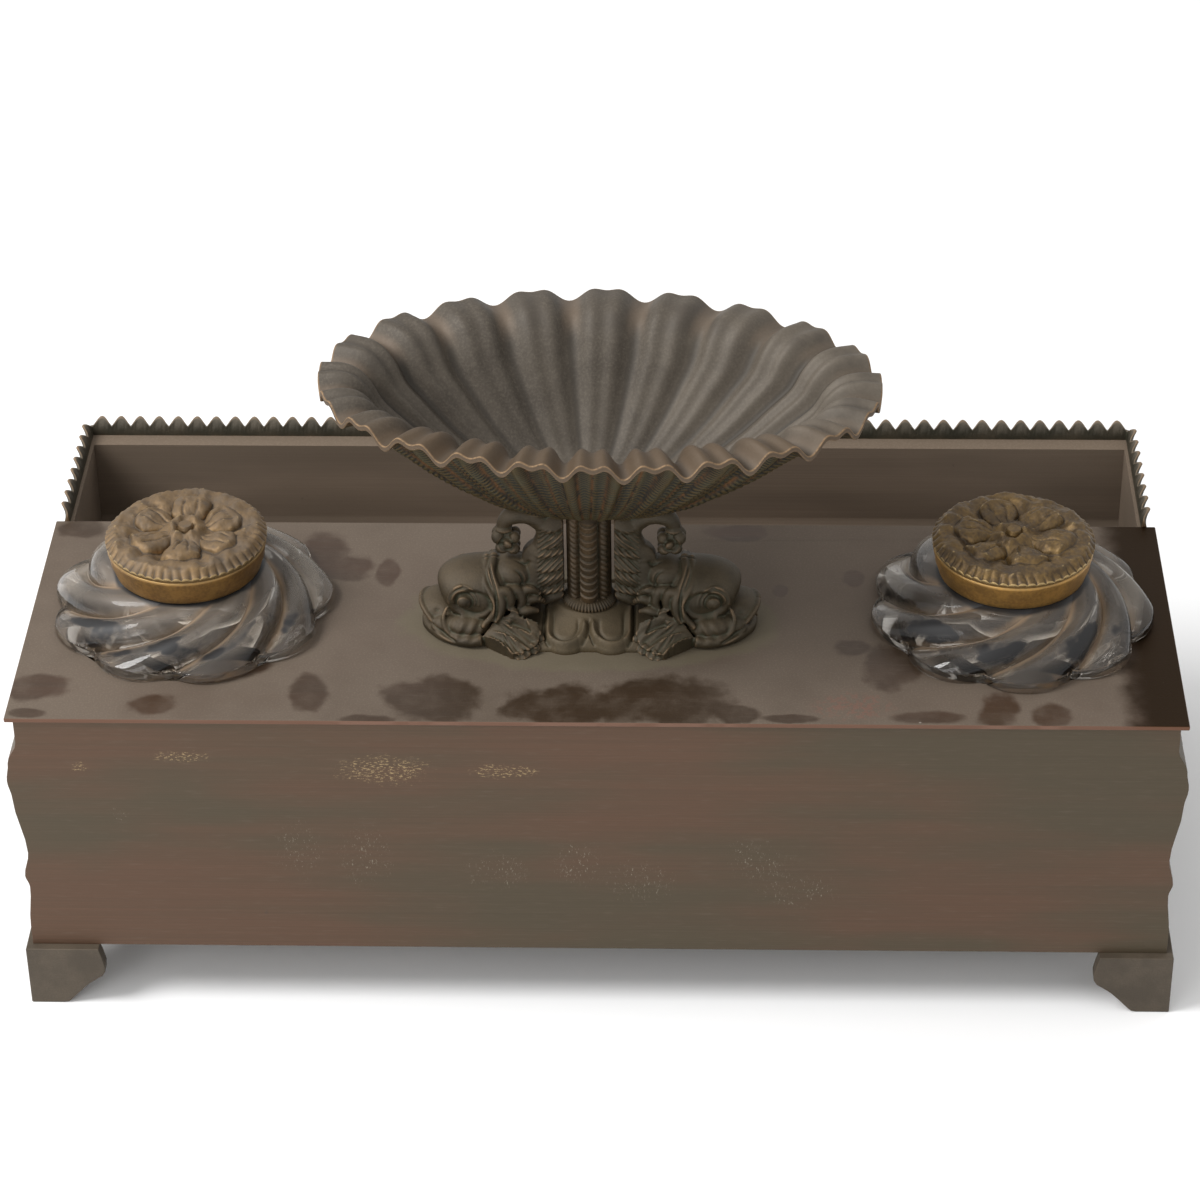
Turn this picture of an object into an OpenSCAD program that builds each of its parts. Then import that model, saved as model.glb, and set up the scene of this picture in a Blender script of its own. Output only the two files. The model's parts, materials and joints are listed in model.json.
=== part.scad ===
// A desk inkstand in patinated bronze: a moulded case on four bracket feet, with a pen
// trough behind its top plate, two lift-out glass inkwells with gilt lids, and an oval
// fluted dish that two dolphins and a ribbed column carry.
// Frame: millimetres, +Z up, origin on the table under the middle of the case.
// The plain panel faces -Y and the pen trough lies along +Y.

/* [Case] */
// Width of the top plate
case_w = 320; // [300:5:340]
// Depth of the top plate, front edge to trough
plate_d = 98; // [96:1:104]
// Depth of the trough opening, plate edge to rim tips
trough_d = 52; // [46:1:60]
// Height of the top plate's upper face above the table
plate_top = 99; // [94:1:106]
// Thickness of the top plate
plate_t = 1.4; // [1:0.1:2]
// Thickness of the plain panel
panel_t = 2; // [1.5:0.1:3]
// How far the plain panel stands back from the plate's edge
panel_set = 1; // [0.5:0.1:2]
// Depth of the moulding from the plate's edge line to its inner face
mould_t = 4; // [3.5:0.1:5]
// How far the moulding's roll stands out past the plate's edge line
roll_out = 1.4; // [0.8:0.1:1.5]
// How far the hollow under the plate is cut in
hollow_in = 2.2; // [1.6:0.1:2.4]
// How far the waist of the moulding is cut in
waist_in = 2; // [1:0.1:2.4]

/* [Rim] */
// Distance from one scallop of the rim to the next
scallop_pitch = 5.8; // [4:0.2:8]
// Height of the rim's valleys above the top plate
rim_rise = 2; // [1:0.2:3]
// Height of a scallop's tip above its valleys
scallop_h = 2.5; // [1.5:0.1:3]
// Distance of the scallop tips from the plate's edge line
rim_set = 1; // [0.5:0.1:1.5]
// Thickness of the rim
rim_t = 1.5; // [1.2:0.1:1.7]

/* [Feet] */
// Height of a foot
foot_h = 19.5; // [15:0.5:24]
// Width of a foot along each side of the case
foot_w = 22; // [18:0.2:30]
// Width of the sole along each side
foot_toe = 9.4; // [8:0.2:14]
// Thickness of the foot's walls
foot_t = 4; // [3.5:0.1:6]
// How far a foot stands out past the plate's edge line
foot_out = 1.5; // [1.5:0.1:3]

/* [Pen trough] */
// Sheet thickness
trough_t = 1; // [0.8:0.1:1.5]
// Depth below the top plate, inside
trough_deep = 34; // [26:1:40]
// Width of the ledge behind the trough
ledge_w = 5.5; // [4:0.5:8]
// Drop of the ledge below the top plate
ledge_drop = 1; // [0.5:0.1:3]
// Radius of the trough's bottom corners, inside
trough_r = 8; // [4:0.5:12]
// Width of the flange soldered under the plate
trough_lap = 5; // [4:0.5:6]

/* [Inkwells] */
// Gap between each inkwell's hole and the case's end wall
well_side_gap = 4.8; // [4:0.2:8]
// Distance of the inkwells from the plate's front edge
well_inset = 54.5; // [52:0.5:56]
// Radius of the glass body that hangs in the case
well_body_r = 31; // [26:0.5:31]
// Gap between the glass body and the edge of its hole
well_clear = 5.2; // [1:0.1:5.6]
// Depth of the glass body below the plate
well_depth = 46; // [36:1:52]
// Thickness of the glass wall and bottom
well_wall = 4; // [3:0.5:5]
// Radius of the mouth
mouth_r = 15; // [12:0.5:16]
// Radius of the collar at the tips of its petals
collar_r = 40; // [39:0.5:41]
// Depth of the notches between petals
collar_notch = 4.5; // [3:0.5:6]
// Number of petals on the collar
petals = 9; // [7:1:12]
// Turn of the petals from neck to tip, in degrees
petal_twist = 72; // [30:1:90]
// Turn of each collar from its square place, left and right alike but opposite, in degrees
petal_phase = 6.5; // [0:0.5:20]
// Height of the neck above the plate
neck_h = 14.5; // [12:0.5:18]
// Outer radius of the neck
neck_r = 19; // [18.5:0.1:20]
// Thickness of the collar at its edge
collar_edge = 4.5; // [3.5:0.5:6]

/* [Lids] */
// Radius of the gilt ring at its foot
ring_foot_r = 20.5; // [20:0.1:22]
// Radius of the gilt ring at its top
ring_top_r = 22.2; // [22:0.1:24]
// Height of the gilt ring
ring_h = 8; // [6:0.5:10]
// Thickness of the ring's wall
ring_wall = 1.6; // [1.2:0.1:2]
// Clearance between the lid's sleeve and the mouth
sleeve_clear = 0.4; // [0.3:0.1:0.8]
// Length of the sleeve below the ring
sleeve_len = 6; // [4:0.5:8]
// Height of the rosette's petal tips above the ring
rosette_h = 6.5; // [5:0.5:7]

/* [Stand and dish] */
// Sideways place of the stand on the plate
stand_x = -2.5; // [-4:0.5:4]
// Distance of the stand from the plate's front edge
stand_inset = 48.5; // [46:0.5:52]
// Height of the stand from plate to dish
stand_h = 39; // [36:0.5:44]
// Half width of the dish at its rim
dish_a = 76; // [70:1:80]
// Half depth of the dish at its rim
dish_b = 46.5; // [42:0.5:48]
// Height of the dish
dish_h = 36; // [30:1:42]
// Thickness of the dish
dish_t = 2.2; // [1.8:0.1:3]
// Number of flutes
flutes = 22; // [18:1:26]
// Length of each dolphin from the stand's middle to its lip
dolphin_len = 49.4; // [48:0.2:50]
// Depth of a flute at the rim
flute_d = 4.2; // [3:0.2:4.4]
// Width of the nearly level lip that the bowl flares into
dish_flare = 17; // [14:0.5:20]
// How far the rim's right end hangs, and its left end rises
dish_drop = 1.5; // [0:0.1:2]
// How far both ends of the rim sag
dish_sag = 1.2; // [0:0.1:2]
// Sideways lean of the rim from the stand
dish_lean_x = 3.5; // [0:0.5:5]
// Lean of the rim away from the plain panel
dish_lean_y = 4; // [0:0.5:4]
// Radius of the column
column_r = 6; // [5:0.5:7]
// Radius of the ring at the column's foot
collar_ring_r = 7.6; // [7:0.1:9]

/* [Fasteners] */
// Radius of the rod that ties dish, column and plate together
tie_r = 2; // [1.5:0.1:2.5]
// Shank radius of the small screws and studs
screw_r = 1.5; // [1.2:0.1:1.6]
// Clearance around a shank
hole_clear = 0.2; // [0.1:0.05:0.3]

/* [Hidden] */
$fn = 48;

// Edge lines that the top plate and the mouldings are set out from.
edge_x = case_w / 2;
case_d = plate_d + trough_d + rim_set;
edge_y = case_d / 2;
plate_under = plate_top - plate_t;
plate_back_y = -edge_y + plate_d;
panel_y = -edge_y + panel_set;
inner_x = edge_x - mould_t;
inner_front_y = edge_y - mould_t;
inner_rear_y = panel_y + panel_t;
ledge_z = plate_top - ledge_drop;
trough_back_y = inner_front_y - ledge_w;
trough_floor_z = plate_top - trough_deep;

// The places of the wells and the stand.
well_y = -edge_y + well_inset;
stand_y = -edge_y + stand_inset;
well_hole_r = well_body_r + well_clear;
well_x = inner_x - well_side_gap - well_hole_r;
dish_z = plate_top + stand_h;

bronze = "#5d5448";
dark_bronze = "#4a443a";
red_bronze = "#5a4a42";
gilt = "#8a6a30";
glass = "#b9c0c2";
iron = "#55524e";

// ---------------------------------------------------------------- curves and skins
function ease(a, b, t) = a + (b - a) * (1 - cos(180 * t)) / 2;
function mix(a, b, t) = a + (b - a) * t;

// Points along [height, offset] stations, with each stretch eased into the next.
function eased_line(stations, steps) = concat(
    [for (i = [0:len(stations) - 2], k = [0:steps - 1]) let (t = k / steps)
        [ease(stations[i][1], stations[i + 1][1], t), mix(stations[i][0], stations[i + 1][0], t)]],
    [[stations[len(stations) - 1][1], stations[len(stations) - 1][0]]]);

// Triangles between neighbouring rings of n points each, and one cap at each end.
function skin_faces(rings, n) = concat(
    [for (i = [0:rings - 2], j = [0:n - 1]) [i * n + j, (i + 1) * n + (j + 1) % n, i * n + (j + 1) % n]],
    [for (i = [0:rings - 2], j = [0:n - 1]) [i * n + j, (i + 1) * n + j, (i + 1) * n + (j + 1) % n]],
    [[for (j = [0:n - 1]) j]],
    [[for (j = [n - 1:-1:0]) (rings - 1) * n + j]]);

module skin(rings) {
    polyhedron([for (ring = rings) each ring], skin_faces(len(rings), len(rings[0])), convexity = 8);
}

// ---------------------------------------------------------------- moulded case
roll_drop = 22;
roll_half = 6;
waist_drop = 47;
bead_drop = 55;
plinth_h = 7;
plinth_in = 0.3;
bead_in = 0.4;
mould_steps = 4;

// Outline of the moulding's face: height above the table, offset from the edge line.
mould_stations = [
    [foot_h, -plinth_in],
    [foot_h + plinth_h, -plinth_in],
    [plate_top - bead_drop - 4, -waist_in + 0.6],
    [plate_top - bead_drop, -bead_in],
    [plate_top - waist_drop, -waist_in],
    [plate_top - roll_drop - roll_half, roll_out - 0.9],
    [plate_top - roll_drop, roll_out],
    [plate_top - roll_drop + roll_half, roll_out - 0.8],
    [plate_top - 9, -hollow_in],
    [plate_under, -hollow_in]];
mould_face = eased_line(mould_stations, mould_steps);

module mould_section() {
    polygon(concat(mould_face, [[-mould_t, plate_under], [-mould_t, foot_h]]));
}

// Keeps one side of the mitre at a front corner of the case.
module mitre_cut(side) {
    big = 2 * mould_t + 40;
    translate([edge_x, edge_y, -1]) rotate([0, 0, 45])
        translate([-big / 2, side > 0 ? 0 : -big, 0]) cube([big, big, plate_top + 20]);
}

module side_moulding() {
    color(bronze) difference() {
        translate([edge_x, edge_y + 5, 0]) rotate([90, 0, 0])
            linear_extrude(edge_y + 5 - inner_rear_y) mould_section();
        mitre_cut(1);
    }
}

module front_moulding() {
    color(bronze) difference() {
        translate([-edge_x - 5, edge_y, 0]) rotate([90, 0, 90])
            linear_extrude(2 * edge_x + 10) mould_section();
        mitre_cut(-1);
        mirror([1, 0, 0]) mitre_cut(-1);
    }
}

// Crimped rim on three sides of the trough: each scallop bulges outwards and up.
rim_steps = 6;
rim_lean = mould_t - rim_set - rim_t;
rim_side_count = max(1, round((inner_front_y - plate_back_y) / scallop_pitch));
rim_front_count = max(1, round(2 * inner_x / scallop_pitch));

// Place of a point on the rim's inner foot line, its way outwards, and the share of a scallop.
function rim_side(sx, i) = let (t = i / (rim_side_count * rim_steps))
    [[sx * inner_x, mix(plate_back_y, inner_front_y, t)], [sx, 0], i % rim_steps / rim_steps];
function rim_front(i) = let (t = i / (rim_front_count * rim_steps))
    [[mix(-inner_x, inner_x, t), inner_front_y], [0, 1], i % rim_steps / rim_steps];
rim_path = concat(
    [for (i = [0:rim_side_count * rim_steps - 1]) rim_side(-1, i)],
    [[[-inner_x, inner_front_y], [-1, 1], 0]],
    [for (i = [1:rim_front_count * rim_steps - 1]) rim_front(i)],
    [[[inner_x, inner_front_y], [1, 1], 0]],
    [for (i = [rim_side_count * rim_steps - 1:-1:0]) rim_side(1, i)]);

module leaf_rim() {
    top = plate_top + rim_rise;
    color(bronze) skin([for (p = rim_path) let (
            wave = (1 - cos(360 * p[2])) / 2,
            flare = rim_lean * (0.35 + 0.65 * wave),
            tip = top + scallop_h * pow(wave, 0.8))
        [[each p[0], plate_under], [each (p[0] + p[1] * rim_t), plate_under],
            [each (p[0] + p[1] * (rim_t + flare)), tip], [each (p[0] + p[1] * flare), tip]]]);
}

// The plain panel closes the mouldings and is cut to their outline.
module rear_panel() {
    right = [for (p = mould_face) [edge_x + p[0], p[1]]];
    left = [for (i = [len(mould_face) - 1:-1:0]) [-edge_x - mould_face[i][0], mould_face[i][1]]];
    color(red_bronze) translate([0, inner_rear_y, 0]) rotate([90, 0, 0])
        linear_extrude(panel_t) polygon(concat(right, left));
}

module at_wells() {
    for (s = [-1, 1]) translate([s * well_x, well_y, 0]) children();
}

module top_plate() {
    color(red_bronze) difference() {
        translate([-edge_x, -edge_y, plate_under]) cube([case_w, plate_d, plate_t]);
        at_wells() translate([0, 0, plate_under - 1]) cylinder(r = well_hole_r, h = plate_t + 2);
        translate([stand_x, stand_y, plate_under - 1]) {
            cylinder(r = tie_r + hole_clear, h = plate_t + 2);
            for (s = [-1, 1]) translate([s * dolphin_screw_x, 0, 0])
                cylinder(r = screw_r + hole_clear, h = plate_t + 2);
        }
    }
}

// ---------------------------------------------------------------- pen trough
// A bend of the sheet: a quarter of a ring with inside radius trough_r.
module sheet_bend() {
    intersection() {
        difference() {
            circle(r = trough_r + trough_t);
            circle(r = trough_r);
        }
        translate([-trough_r - trough_t, -trough_r - trough_t]) square(trough_r + trough_t);
    }
}

module trough_section() {
    front_y = plate_back_y;
    wall_h = plate_under - trough_floor_z - trough_r;
    // wall under the plate's edge, with its flange
    translate([front_y - trough_t, trough_floor_z + trough_r]) square([trough_t, wall_h]);
    translate([front_y - trough_lap, plate_under - trough_t]) square([trough_lap, trough_t]);
    translate([front_y + trough_r, trough_floor_z + trough_r]) sheet_bend();
    // floor
    translate([front_y + trough_r, trough_floor_z - trough_t])
        square([trough_back_y - front_y - 2 * trough_r, trough_t]);
    // wall under the ledge, with the ledge
    translate([trough_back_y - trough_r, trough_floor_z + trough_r]) mirror([1, 0]) sheet_bend();
    translate([trough_back_y, trough_floor_z + trough_r])
        square([trough_t, ledge_z - trough_floor_z - trough_r]);
    translate([trough_back_y, ledge_z - trough_t]) square([ledge_w, trough_t]);
}

module trough_end() {
    translate([plate_back_y, trough_floor_z]) difference() {
        square([trough_back_y - plate_back_y, ledge_z - trough_floor_z]);
        difference() {
            square(trough_r);
            translate([trough_r, trough_r]) circle(r = trough_r);
        }
        translate([trough_back_y - plate_back_y - trough_r, 0]) difference() {
            square(trough_r + 1);
            translate([0, trough_r]) circle(r = trough_r);
        }
    }
}

module pen_trough() {
    length = 2 * inner_x;
    color(red_bronze) {
        translate([-inner_x, 0, 0]) rotate([90, 0, 90]) linear_extrude(length) trough_section();
        for (x = [-inner_x, inner_x - trough_t])
            translate([x, 0, 0]) rotate([90, 0, 90]) linear_extrude(trough_t) trough_end();
    }
}

// ---------------------------------------------------------------- feet and frame
foot_edge_x = edge_x + foot_out;
foot_edge_y = edge_y + foot_out;
foot_pad_t = 3;
foot_pad = 20;
foot_screw_in = 13;
bracket_t = 1.5;
bracket_w = 14;
nut_h = 2.4;
nut_r = 3;
head_h = 1.8;
head_r = 2.9;

// Ogee from the toe to the top: share of the way out to the full width, share of the height.
foot_curve = [[0, 0], [0.1, 0.015], [0.19, 0.065], [0.4, 0.215], [0.6, 0.35], [0.78, 0.435],
    [0.91, 0.49], [0.99, 0.575], [1, 0.68], [0.96, 0.82], [0.89, 1]];

module foot_outline() {
    polygon(concat([[0, foot_h], [0, 0]],
        [for (p = foot_curve) [mix(foot_toe, foot_w, p[0]), foot_h * p[1]]]));
}

// A bracket foot for the corner at +X +Y, cast in one piece with its screw pad.
module foot() {
    color(bronze) difference() {
        translate([foot_edge_x, foot_edge_y, 0]) {
            mirror([1, 0, 0]) rotate([90, 0, 0]) linear_extrude(foot_t) foot_outline();
            rotate([90, 0, -90]) linear_extrude(foot_t) foot_outline();
            translate([-foot_pad, -foot_pad, foot_h - foot_pad_t]) cube([foot_pad, foot_pad, foot_pad_t]);
        }
        at_foot_screw() translate([0, 0, foot_h - foot_pad_t - 1])
            cylinder(r = screw_r + hole_clear, h = foot_pad_t + 2);
    }
}

module at_foot_screw() {
    translate([foot_edge_x - foot_screw_in, foot_edge_y - foot_screw_in, 0]) children();
}

module at_corners() {
    for (sx = [0, 1], sy = [0, 1]) mirror([sx, 0, 0]) mirror([0, sy, 0]) children();
}

module foot_screws() {
    color(iron) at_corners() at_foot_screw() {
        translate([0, 0, foot_h - foot_pad_t - head_h]) cylinder(r = head_r, h = head_h);
        translate([0, 0, foot_h - foot_pad_t]) cylinder(r = screw_r, h = foot_pad_t + bracket_t + nut_h + 1);
    }
}

module foot_nuts() {
    color(iron) at_corners() at_foot_screw() translate([0, 0, foot_h + bracket_t]) nut(screw_r);
}

module nut(r) {
    difference() {
        cylinder(r = r * nut_r / 1.5, h = nut_h, $fn = 6);
        translate([0, 0, -1]) cylinder(r = r + 0.05, h = nut_h + 2);
    }
}

// Upright angle in a corner at +X, standing on a foot, with a flange for the foot's screw.
module corner_bracket(wall_y, leg_h) {
    flange_w = max(bracket_w, inner_x - foot_edge_x + foot_screw_in + 5);
    translate([inner_x, wall_y, foot_h]) difference() {
        union() {
            translate([-bracket_t, -bracket_w, 0]) cube([bracket_t, bracket_w, leg_h]);
            translate([-bracket_w, -bracket_t, 0]) cube([bracket_w, bracket_t, leg_h]);
            translate([-flange_w, -flange_w, 0]) cube([flange_w, flange_w, bracket_t]);
        }
        translate([foot_edge_x - foot_screw_in - inner_x, foot_edge_y - foot_screw_in - wall_y, -1])
            cylinder(r = screw_r + hole_clear, h = bracket_t + 2);
    }
}

module corner_brackets() {
    front_leg = trough_floor_z - trough_t - foot_h - 2;
    rear_leg = plate_under - foot_h - bracket_h - 2;
    color(red_bronze) for (s = [0, 1]) mirror([s, 0, 0]) {
        corner_bracket(inner_front_y, front_leg);
        mirror([0, 1, 0]) corner_bracket(-inner_rear_y, rear_leg);
    }
}

// Small angles that the plate's studs are nutted to, two at each end of the case.
bracket_h = 12;
stud_in = 7;
stud_rear_y = inner_rear_y + 9;
stud_front_y = plate_back_y - trough_lap - 9;

module at_studs() {
    for (s = [0, 1], y = [stud_rear_y, stud_front_y])
        mirror([s, 0, 0]) translate([inner_x - stud_in, y, plate_under]) children();
}

module plate_brackets() {
    color(red_bronze) at_studs() difference() {
        union() {
            translate([stud_in - bracket_t, -5, -bracket_h]) cube([bracket_t, 10, bracket_h]);
            translate([-5, -5, -bracket_t]) cube([stud_in + 5, 10, bracket_t]);
        }
        translate([0, 0, -bracket_t - 1]) cylinder(r = screw_r + hole_clear, h = bracket_t + 2);
    }
}

module plate_studs() {
    stud_len = bracket_t + nut_h + 1.5;
    color(iron) at_studs() translate([0, 0, -stud_len]) cylinder(r = screw_r, h = stud_len);
}

module plate_nuts() {
    color(iron) at_studs() translate([0, 0, -bracket_t - nut_h]) nut(screw_r);
}

// ---------------------------------------------------------------- inkwells
// Cast collar with turned petals: rings run from the flat underside over the petals to the neck.
function petal_wave(a) = sqrt(abs(cos(petals * a / 2)));
collar_steps = 8;
collar_stations = [
    // share of the way from neck to edge, share of the way from edge height to neck height, petal share
    [0.97, -1, 1], [1, -0.6, 1], [1, -0.15, 1], [0.95, 0.05, 1], [0.82, 0.22, 0.9],
    [0.62, 0.42, 0.75], [0.4, 0.62, 0.5], [0.2, 0.82, 0.2], [0.05, 0.94, 0], [0, 1, 0]];

function collar_ring(s, phase) = let (
        n = petals * collar_steps,
        z = s[1] < 0 ? collar_edge * (1 + s[1]) : mix(collar_edge, neck_h, s[1]),
        turn = petal_twist * (1 - s[0]) + phase)
    [for (j = [0:n - 1]) let (
            a = 360 * j / n,
            full = mix(neck_r, collar_r, s[0]),
            r = full - s[2] * s[0] * collar_notch * (1 - petal_wave(a)),
            dip = s[1] > 0 ? 1.6 * s[2] * (1 - petal_wave(a)) * s[0] : 0)
        [r * cos(a + turn), r * sin(a + turn), z - dip]];

module well_cavity() {
    bottom = -well_depth + well_wall;
    inner_r = well_body_r - well_wall;
    rotate_extrude() polygon([[0, bottom], [inner_r, bottom], [inner_r, -8],
        [mouth_r, 2], [mouth_r, neck_h + 1], [0, neck_h + 1]]);
}

module inkwell(side) {
    color(glass, 0.6) translate([side * well_x, well_y, plate_top]) difference() {
        union() {
            skin([for (s = collar_stations) collar_ring(s, -side * petal_phase)]);
            translate([0, 0, -well_depth]) cylinder(r = well_body_r, h = well_depth + 0.5);
        }
        well_cavity();
    }
}

// ---------------------------------------------------------------- lids
lid_disc_t = 1.5;
pin_r = 1.2;
module at_lid(side) {
    translate([side * well_x, well_y, plate_top + neck_h]) children();
}

// The ring rests on the neck's top; its web carries the sleeve.
module lid_ring(side) {
    color(gilt) at_lid(side) difference() {
        rotate_extrude() polygon([[0, 0], [ring_foot_r, 0], [mix(ring_foot_r, ring_top_r, 0.6), ring_h * 0.4],
            [ring_top_r, ring_h], [ring_top_r - ring_wall, ring_h], [ring_foot_r - ring_wall, lid_disc_t],
            [0, lid_disc_t]]);
        translate([0, 0, -1]) cylinder(r = pin_r + hole_clear, h = lid_disc_t + 2);
    }
}

module lid_sleeve(side) {
    outer = mouth_r - sleeve_clear;
    color(gilt) at_lid(side) translate([0, 0, -sleeve_len]) difference() {
        cylinder(r = outer, h = sleeve_len);
        translate([0, 0, -1]) cylinder(r = outer - 1, h = sleeve_len + 2);
    }
}

// A pressed flower: a disc in the ring's mouth that laps over the ring, six broad petals and
// a heart.
lid_lap = 0.3;
seat = ring_h - 0.6;
dome_h = rosette_h * 0.55;

module lid_rosette(side) {
    face_r = ring_top_r - ring_wall - 0.3;
    lap_r = ring_top_r + lid_lap;
    color(bronze) at_lid(side) difference() {
        union() {
            rotate_extrude() polygon([[0, lid_disc_t], [5, lid_disc_t], [5, seat], [face_r, seat],
                [face_r, ring_h], [lap_r, ring_h], [lap_r, ring_h + dome_h * 0.3],
                [lap_r - 1.2, ring_h + dome_h * 0.75], [lap_r - 4, ring_h + dome_h], [0, ring_h + dome_h]]);
            for (k = [0:5]) rotate([0, 0, 60 * k + 30]) hull() {
                translate([7, 0, seat + 1]) cylinder(r = 2.2, h = ring_h + rosette_h * 0.75 - seat - 1, $fn = 16);
                translate([15.6, 0, seat + 1])
                    cylinder(r1 = 5, r2 = 3.8, h = ring_h + rosette_h - seat - 1, $fn = 20);
            }
        }
        translate([0, 0, lid_disc_t - 1]) cylinder(r = pin_r + hole_clear, h = ring_h + rosette_h);
    }
}

// The pin holds rosette and ring together: beaded head above, burred end below.
module lid_pin(side) {
    top = ring_h + dome_h;
    color(gilt) at_lid(side) {
        translate([0, 0, -1.2]) cylinder(r = 2.4, h = 1.2);
        cylinder(r = pin_r, h = top);
        translate([0, 0, top]) cylinder(r1 = 2.4, r2 = 1.8, h = 1.6);
    }
}

// ---------------------------------------------------------------- stand
base_t = 3;
plinth_x = 29;
plinth_y = 9;
mound_h = 7.4;
ring_t = 2.4;
dolphin_screw_x = 24;
column_gap = 3;

module at_stand() {
    translate([stand_x, stand_y, plate_top]) children();
}

// Foot of the stand: a plinth plate, and a skirt that spreads from the ring over two
// tongues on each long side.
lobe_r = 6.3;
lobe_reach = 17;
skirt_x = 12;
module stand_base() {
    color(dark_bronze) at_stand() difference() {
        union() {
            translate([-plinth_x, -plinth_y, 0]) cube([2 * plinth_x, 2 * plinth_y, base_t]);
            hull() {
                translate([-skirt_x, lobe_r - lobe_reach, 0])
                    cube([2 * skirt_x, 2 * (lobe_reach - lobe_r), 1.6]);
                cylinder(r = collar_ring_r, h = mound_h);
            }
            for (sx = [-1, 1], sy = [-1, 1]) hull() {
                translate([sx * lobe_r, sy * (lobe_reach - lobe_r), 0])
                    cylinder(r = lobe_r, h = 2.2, $fn = 32);
                translate([sx * 3, sy * 3, 0]) cylinder(r = 4.4, h = mound_h, $fn = 32);
            }
        }
        translate([0, 0, -1]) cylinder(r = tie_r + hole_clear, h = mound_h + 2);
        for (s = [-1, 1]) translate([s * dolphin_screw_x, 0, -1])
            cylinder(r = screw_r + hole_clear, h = base_t + 2);
    }
}

module column_ring() {
    color(bronze) at_stand() translate([0, 0, mound_h]) difference() {
        cylinder(r = collar_ring_r, h = ring_t);
        translate([0, 0, -1]) cylinder(r = tie_r + hole_clear, h = ring_t + 2);
    }
}

// Ribbed column: a round core with a broad banded strip on each side and cords between.
module column() {
    z0 = mound_h + ring_t;
    tall = stand_h - z0 - column_gap;
    cord_r = 1.5;
    strip_r = 2.6;
    color(bronze) at_stand() translate([0, 0, z0]) difference() {
        union() {
            cylinder(r = column_r - 1.4, h = tall + column_gap);
            for (a = [0:60:300]) rotate([0, 0, a + 30]) translate([column_r - cord_r, 0, 0])
                cylinder(r = cord_r, h = tall);
            for (a = [0:180:180]) rotate([0, 0, a + 90]) translate([column_r - strip_r + 0.4, 0, 0])
                cylinder(r = strip_r, h = tall);
        }
        translate([0, 0, -1]) cylinder(r = tie_r + hole_clear, h = tall + column_gap + 2);
    }
}

// ---------------------------------------------------------------- dolphins
// Spine from snout to tail: [outward, height, half width across, half height of the section].
spine = [
    [46.8, 5.6, 2.6, 2.6], [44.4, 6.2, 7, 5], [40.6, 8.4, 10.2, 8.4], [36, 10, 11, 10.2],
    [31, 10.6, 10.6, 10.2], [28, 10.6, 11.2, 10.8], [26.6, 10.4, 10.6, 10.4], [26, 10.2, 8, 8],
    [21.5, 9.2, 7, 6.6], [16.8, 10.8, 6, 5.6], [13.2, 15.4, 5, 4.6], [11.4, 21, 4.2, 3.6],
    [11.5, 27, 3.6, 3], [13.4, 32.2, 3.2, 2.7], [17.2, 35.4, 3, 2.5], [21.6, 35.4, 3, 2.5],
    [24.6, 32.4, 2.6, 2.2], [24.2, 29.4, 2.2, 2]];

function spine_dir(i) = let (
        a = spine[max(0, i - 1)], b = spine[min(len(spine) - 1, i + 1)],
        d = [b[0] - a[0], b[1] - a[1]])
    d / norm(d);

function spine_ring(i, n) = let (p = spine[i], d = spine_dir(i))
    [for (j = [0:n - 1]) let (a = 360 * j / n, v = p[3] * sin(a))
        [p[0] - d[1] * v, p[2] * cos(a), p[1] + d[0] * v]];

// A bead at each place, joined to the next one.
module bead_chain(beads, n) {
    for (i = [0:len(beads) - 2]) hull() for (k = [i, i + 1])
        translate([beads[k][0], beads[k][1], beads[k][2]]) sphere(r = beads[k][3], $fn = n);
}

module dolphin() {
    fin_root = [28.5, 11, 5.5, 2.4];
    fin_tips = [[21, 22.5, 1.4, 1.5], [17, 21, 2, 1.5], [14.6, 17.6, 3.8, 1.5], [14.4, 13.8, 6, 1.5]];
    difference() {
        scale(dolphin_len / 49.4) union() {
            skin([for (i = [0:len(spine) - 1]) spine_ring(i, 14)]);
            for (s = [-1, 1]) {
                // eye under its brow
                translate([35.6, s * 9.2, 12.2]) sphere(r = 2.5, $fn = 14);
                bead_chain([[39.6, s * 7.4, 13, 1.4], [36.4, s * 8.8, 15.6, 1.6], [32, s * 9, 15.4, 1.4]], 8);
                // jowl that spreads on the plate
                bead_chain([[43, s * 7, 2.4, 2.6], [37, s * 11, 2, 3], [31, s * 12, 2, 3]], 10);
                // breast fin, a fan of ribs
                for (tip = fin_tips) bead_chain([for (b = [fin_root, tip]) [b[0], s * b[1], b[2], b[3]]], 10);
            }
            // upturned lip, neck leaf and the crest beside the column
            bead_chain([[43.4, 0, 5, 3], [46, 0, 7.4, 1.8], [45.6, 0, 9.4, 1.3]], 10);
            bead_chain([[27, 0, 18, 2.4], [22, 0, 17.6, 3.2], [18.2, 0, 15.8, 1.8]], 10);
            for (z = [12:4:28]) bead_chain([[11.5, 0, z - 1, 2.2], [8.4, 0, z + 1, 1.5]], 8);
            // tail flower
            for (a = [0:120:240]) translate([22.8 + 2.3 * cos(a - 30), 0, 26.4 + 2.3 * sin(a - 30)])
                sphere(r = 2.5, $fn = 12);
        }
        translate([dolphin_screw_x, 0, -1]) cylinder(r = screw_r + hole_clear, h = 8);
        // seated on the plinth, and on the plate round it
        translate([0, -plinth_y - 0.1, -5]) cube([plinth_x + 0.1, 2 * plinth_y + 0.2, 5 + base_t]);
        translate([0, -30, -10]) cube([60, 60, 10]);
        dolphin_skirt_clear();
    }
}

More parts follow.
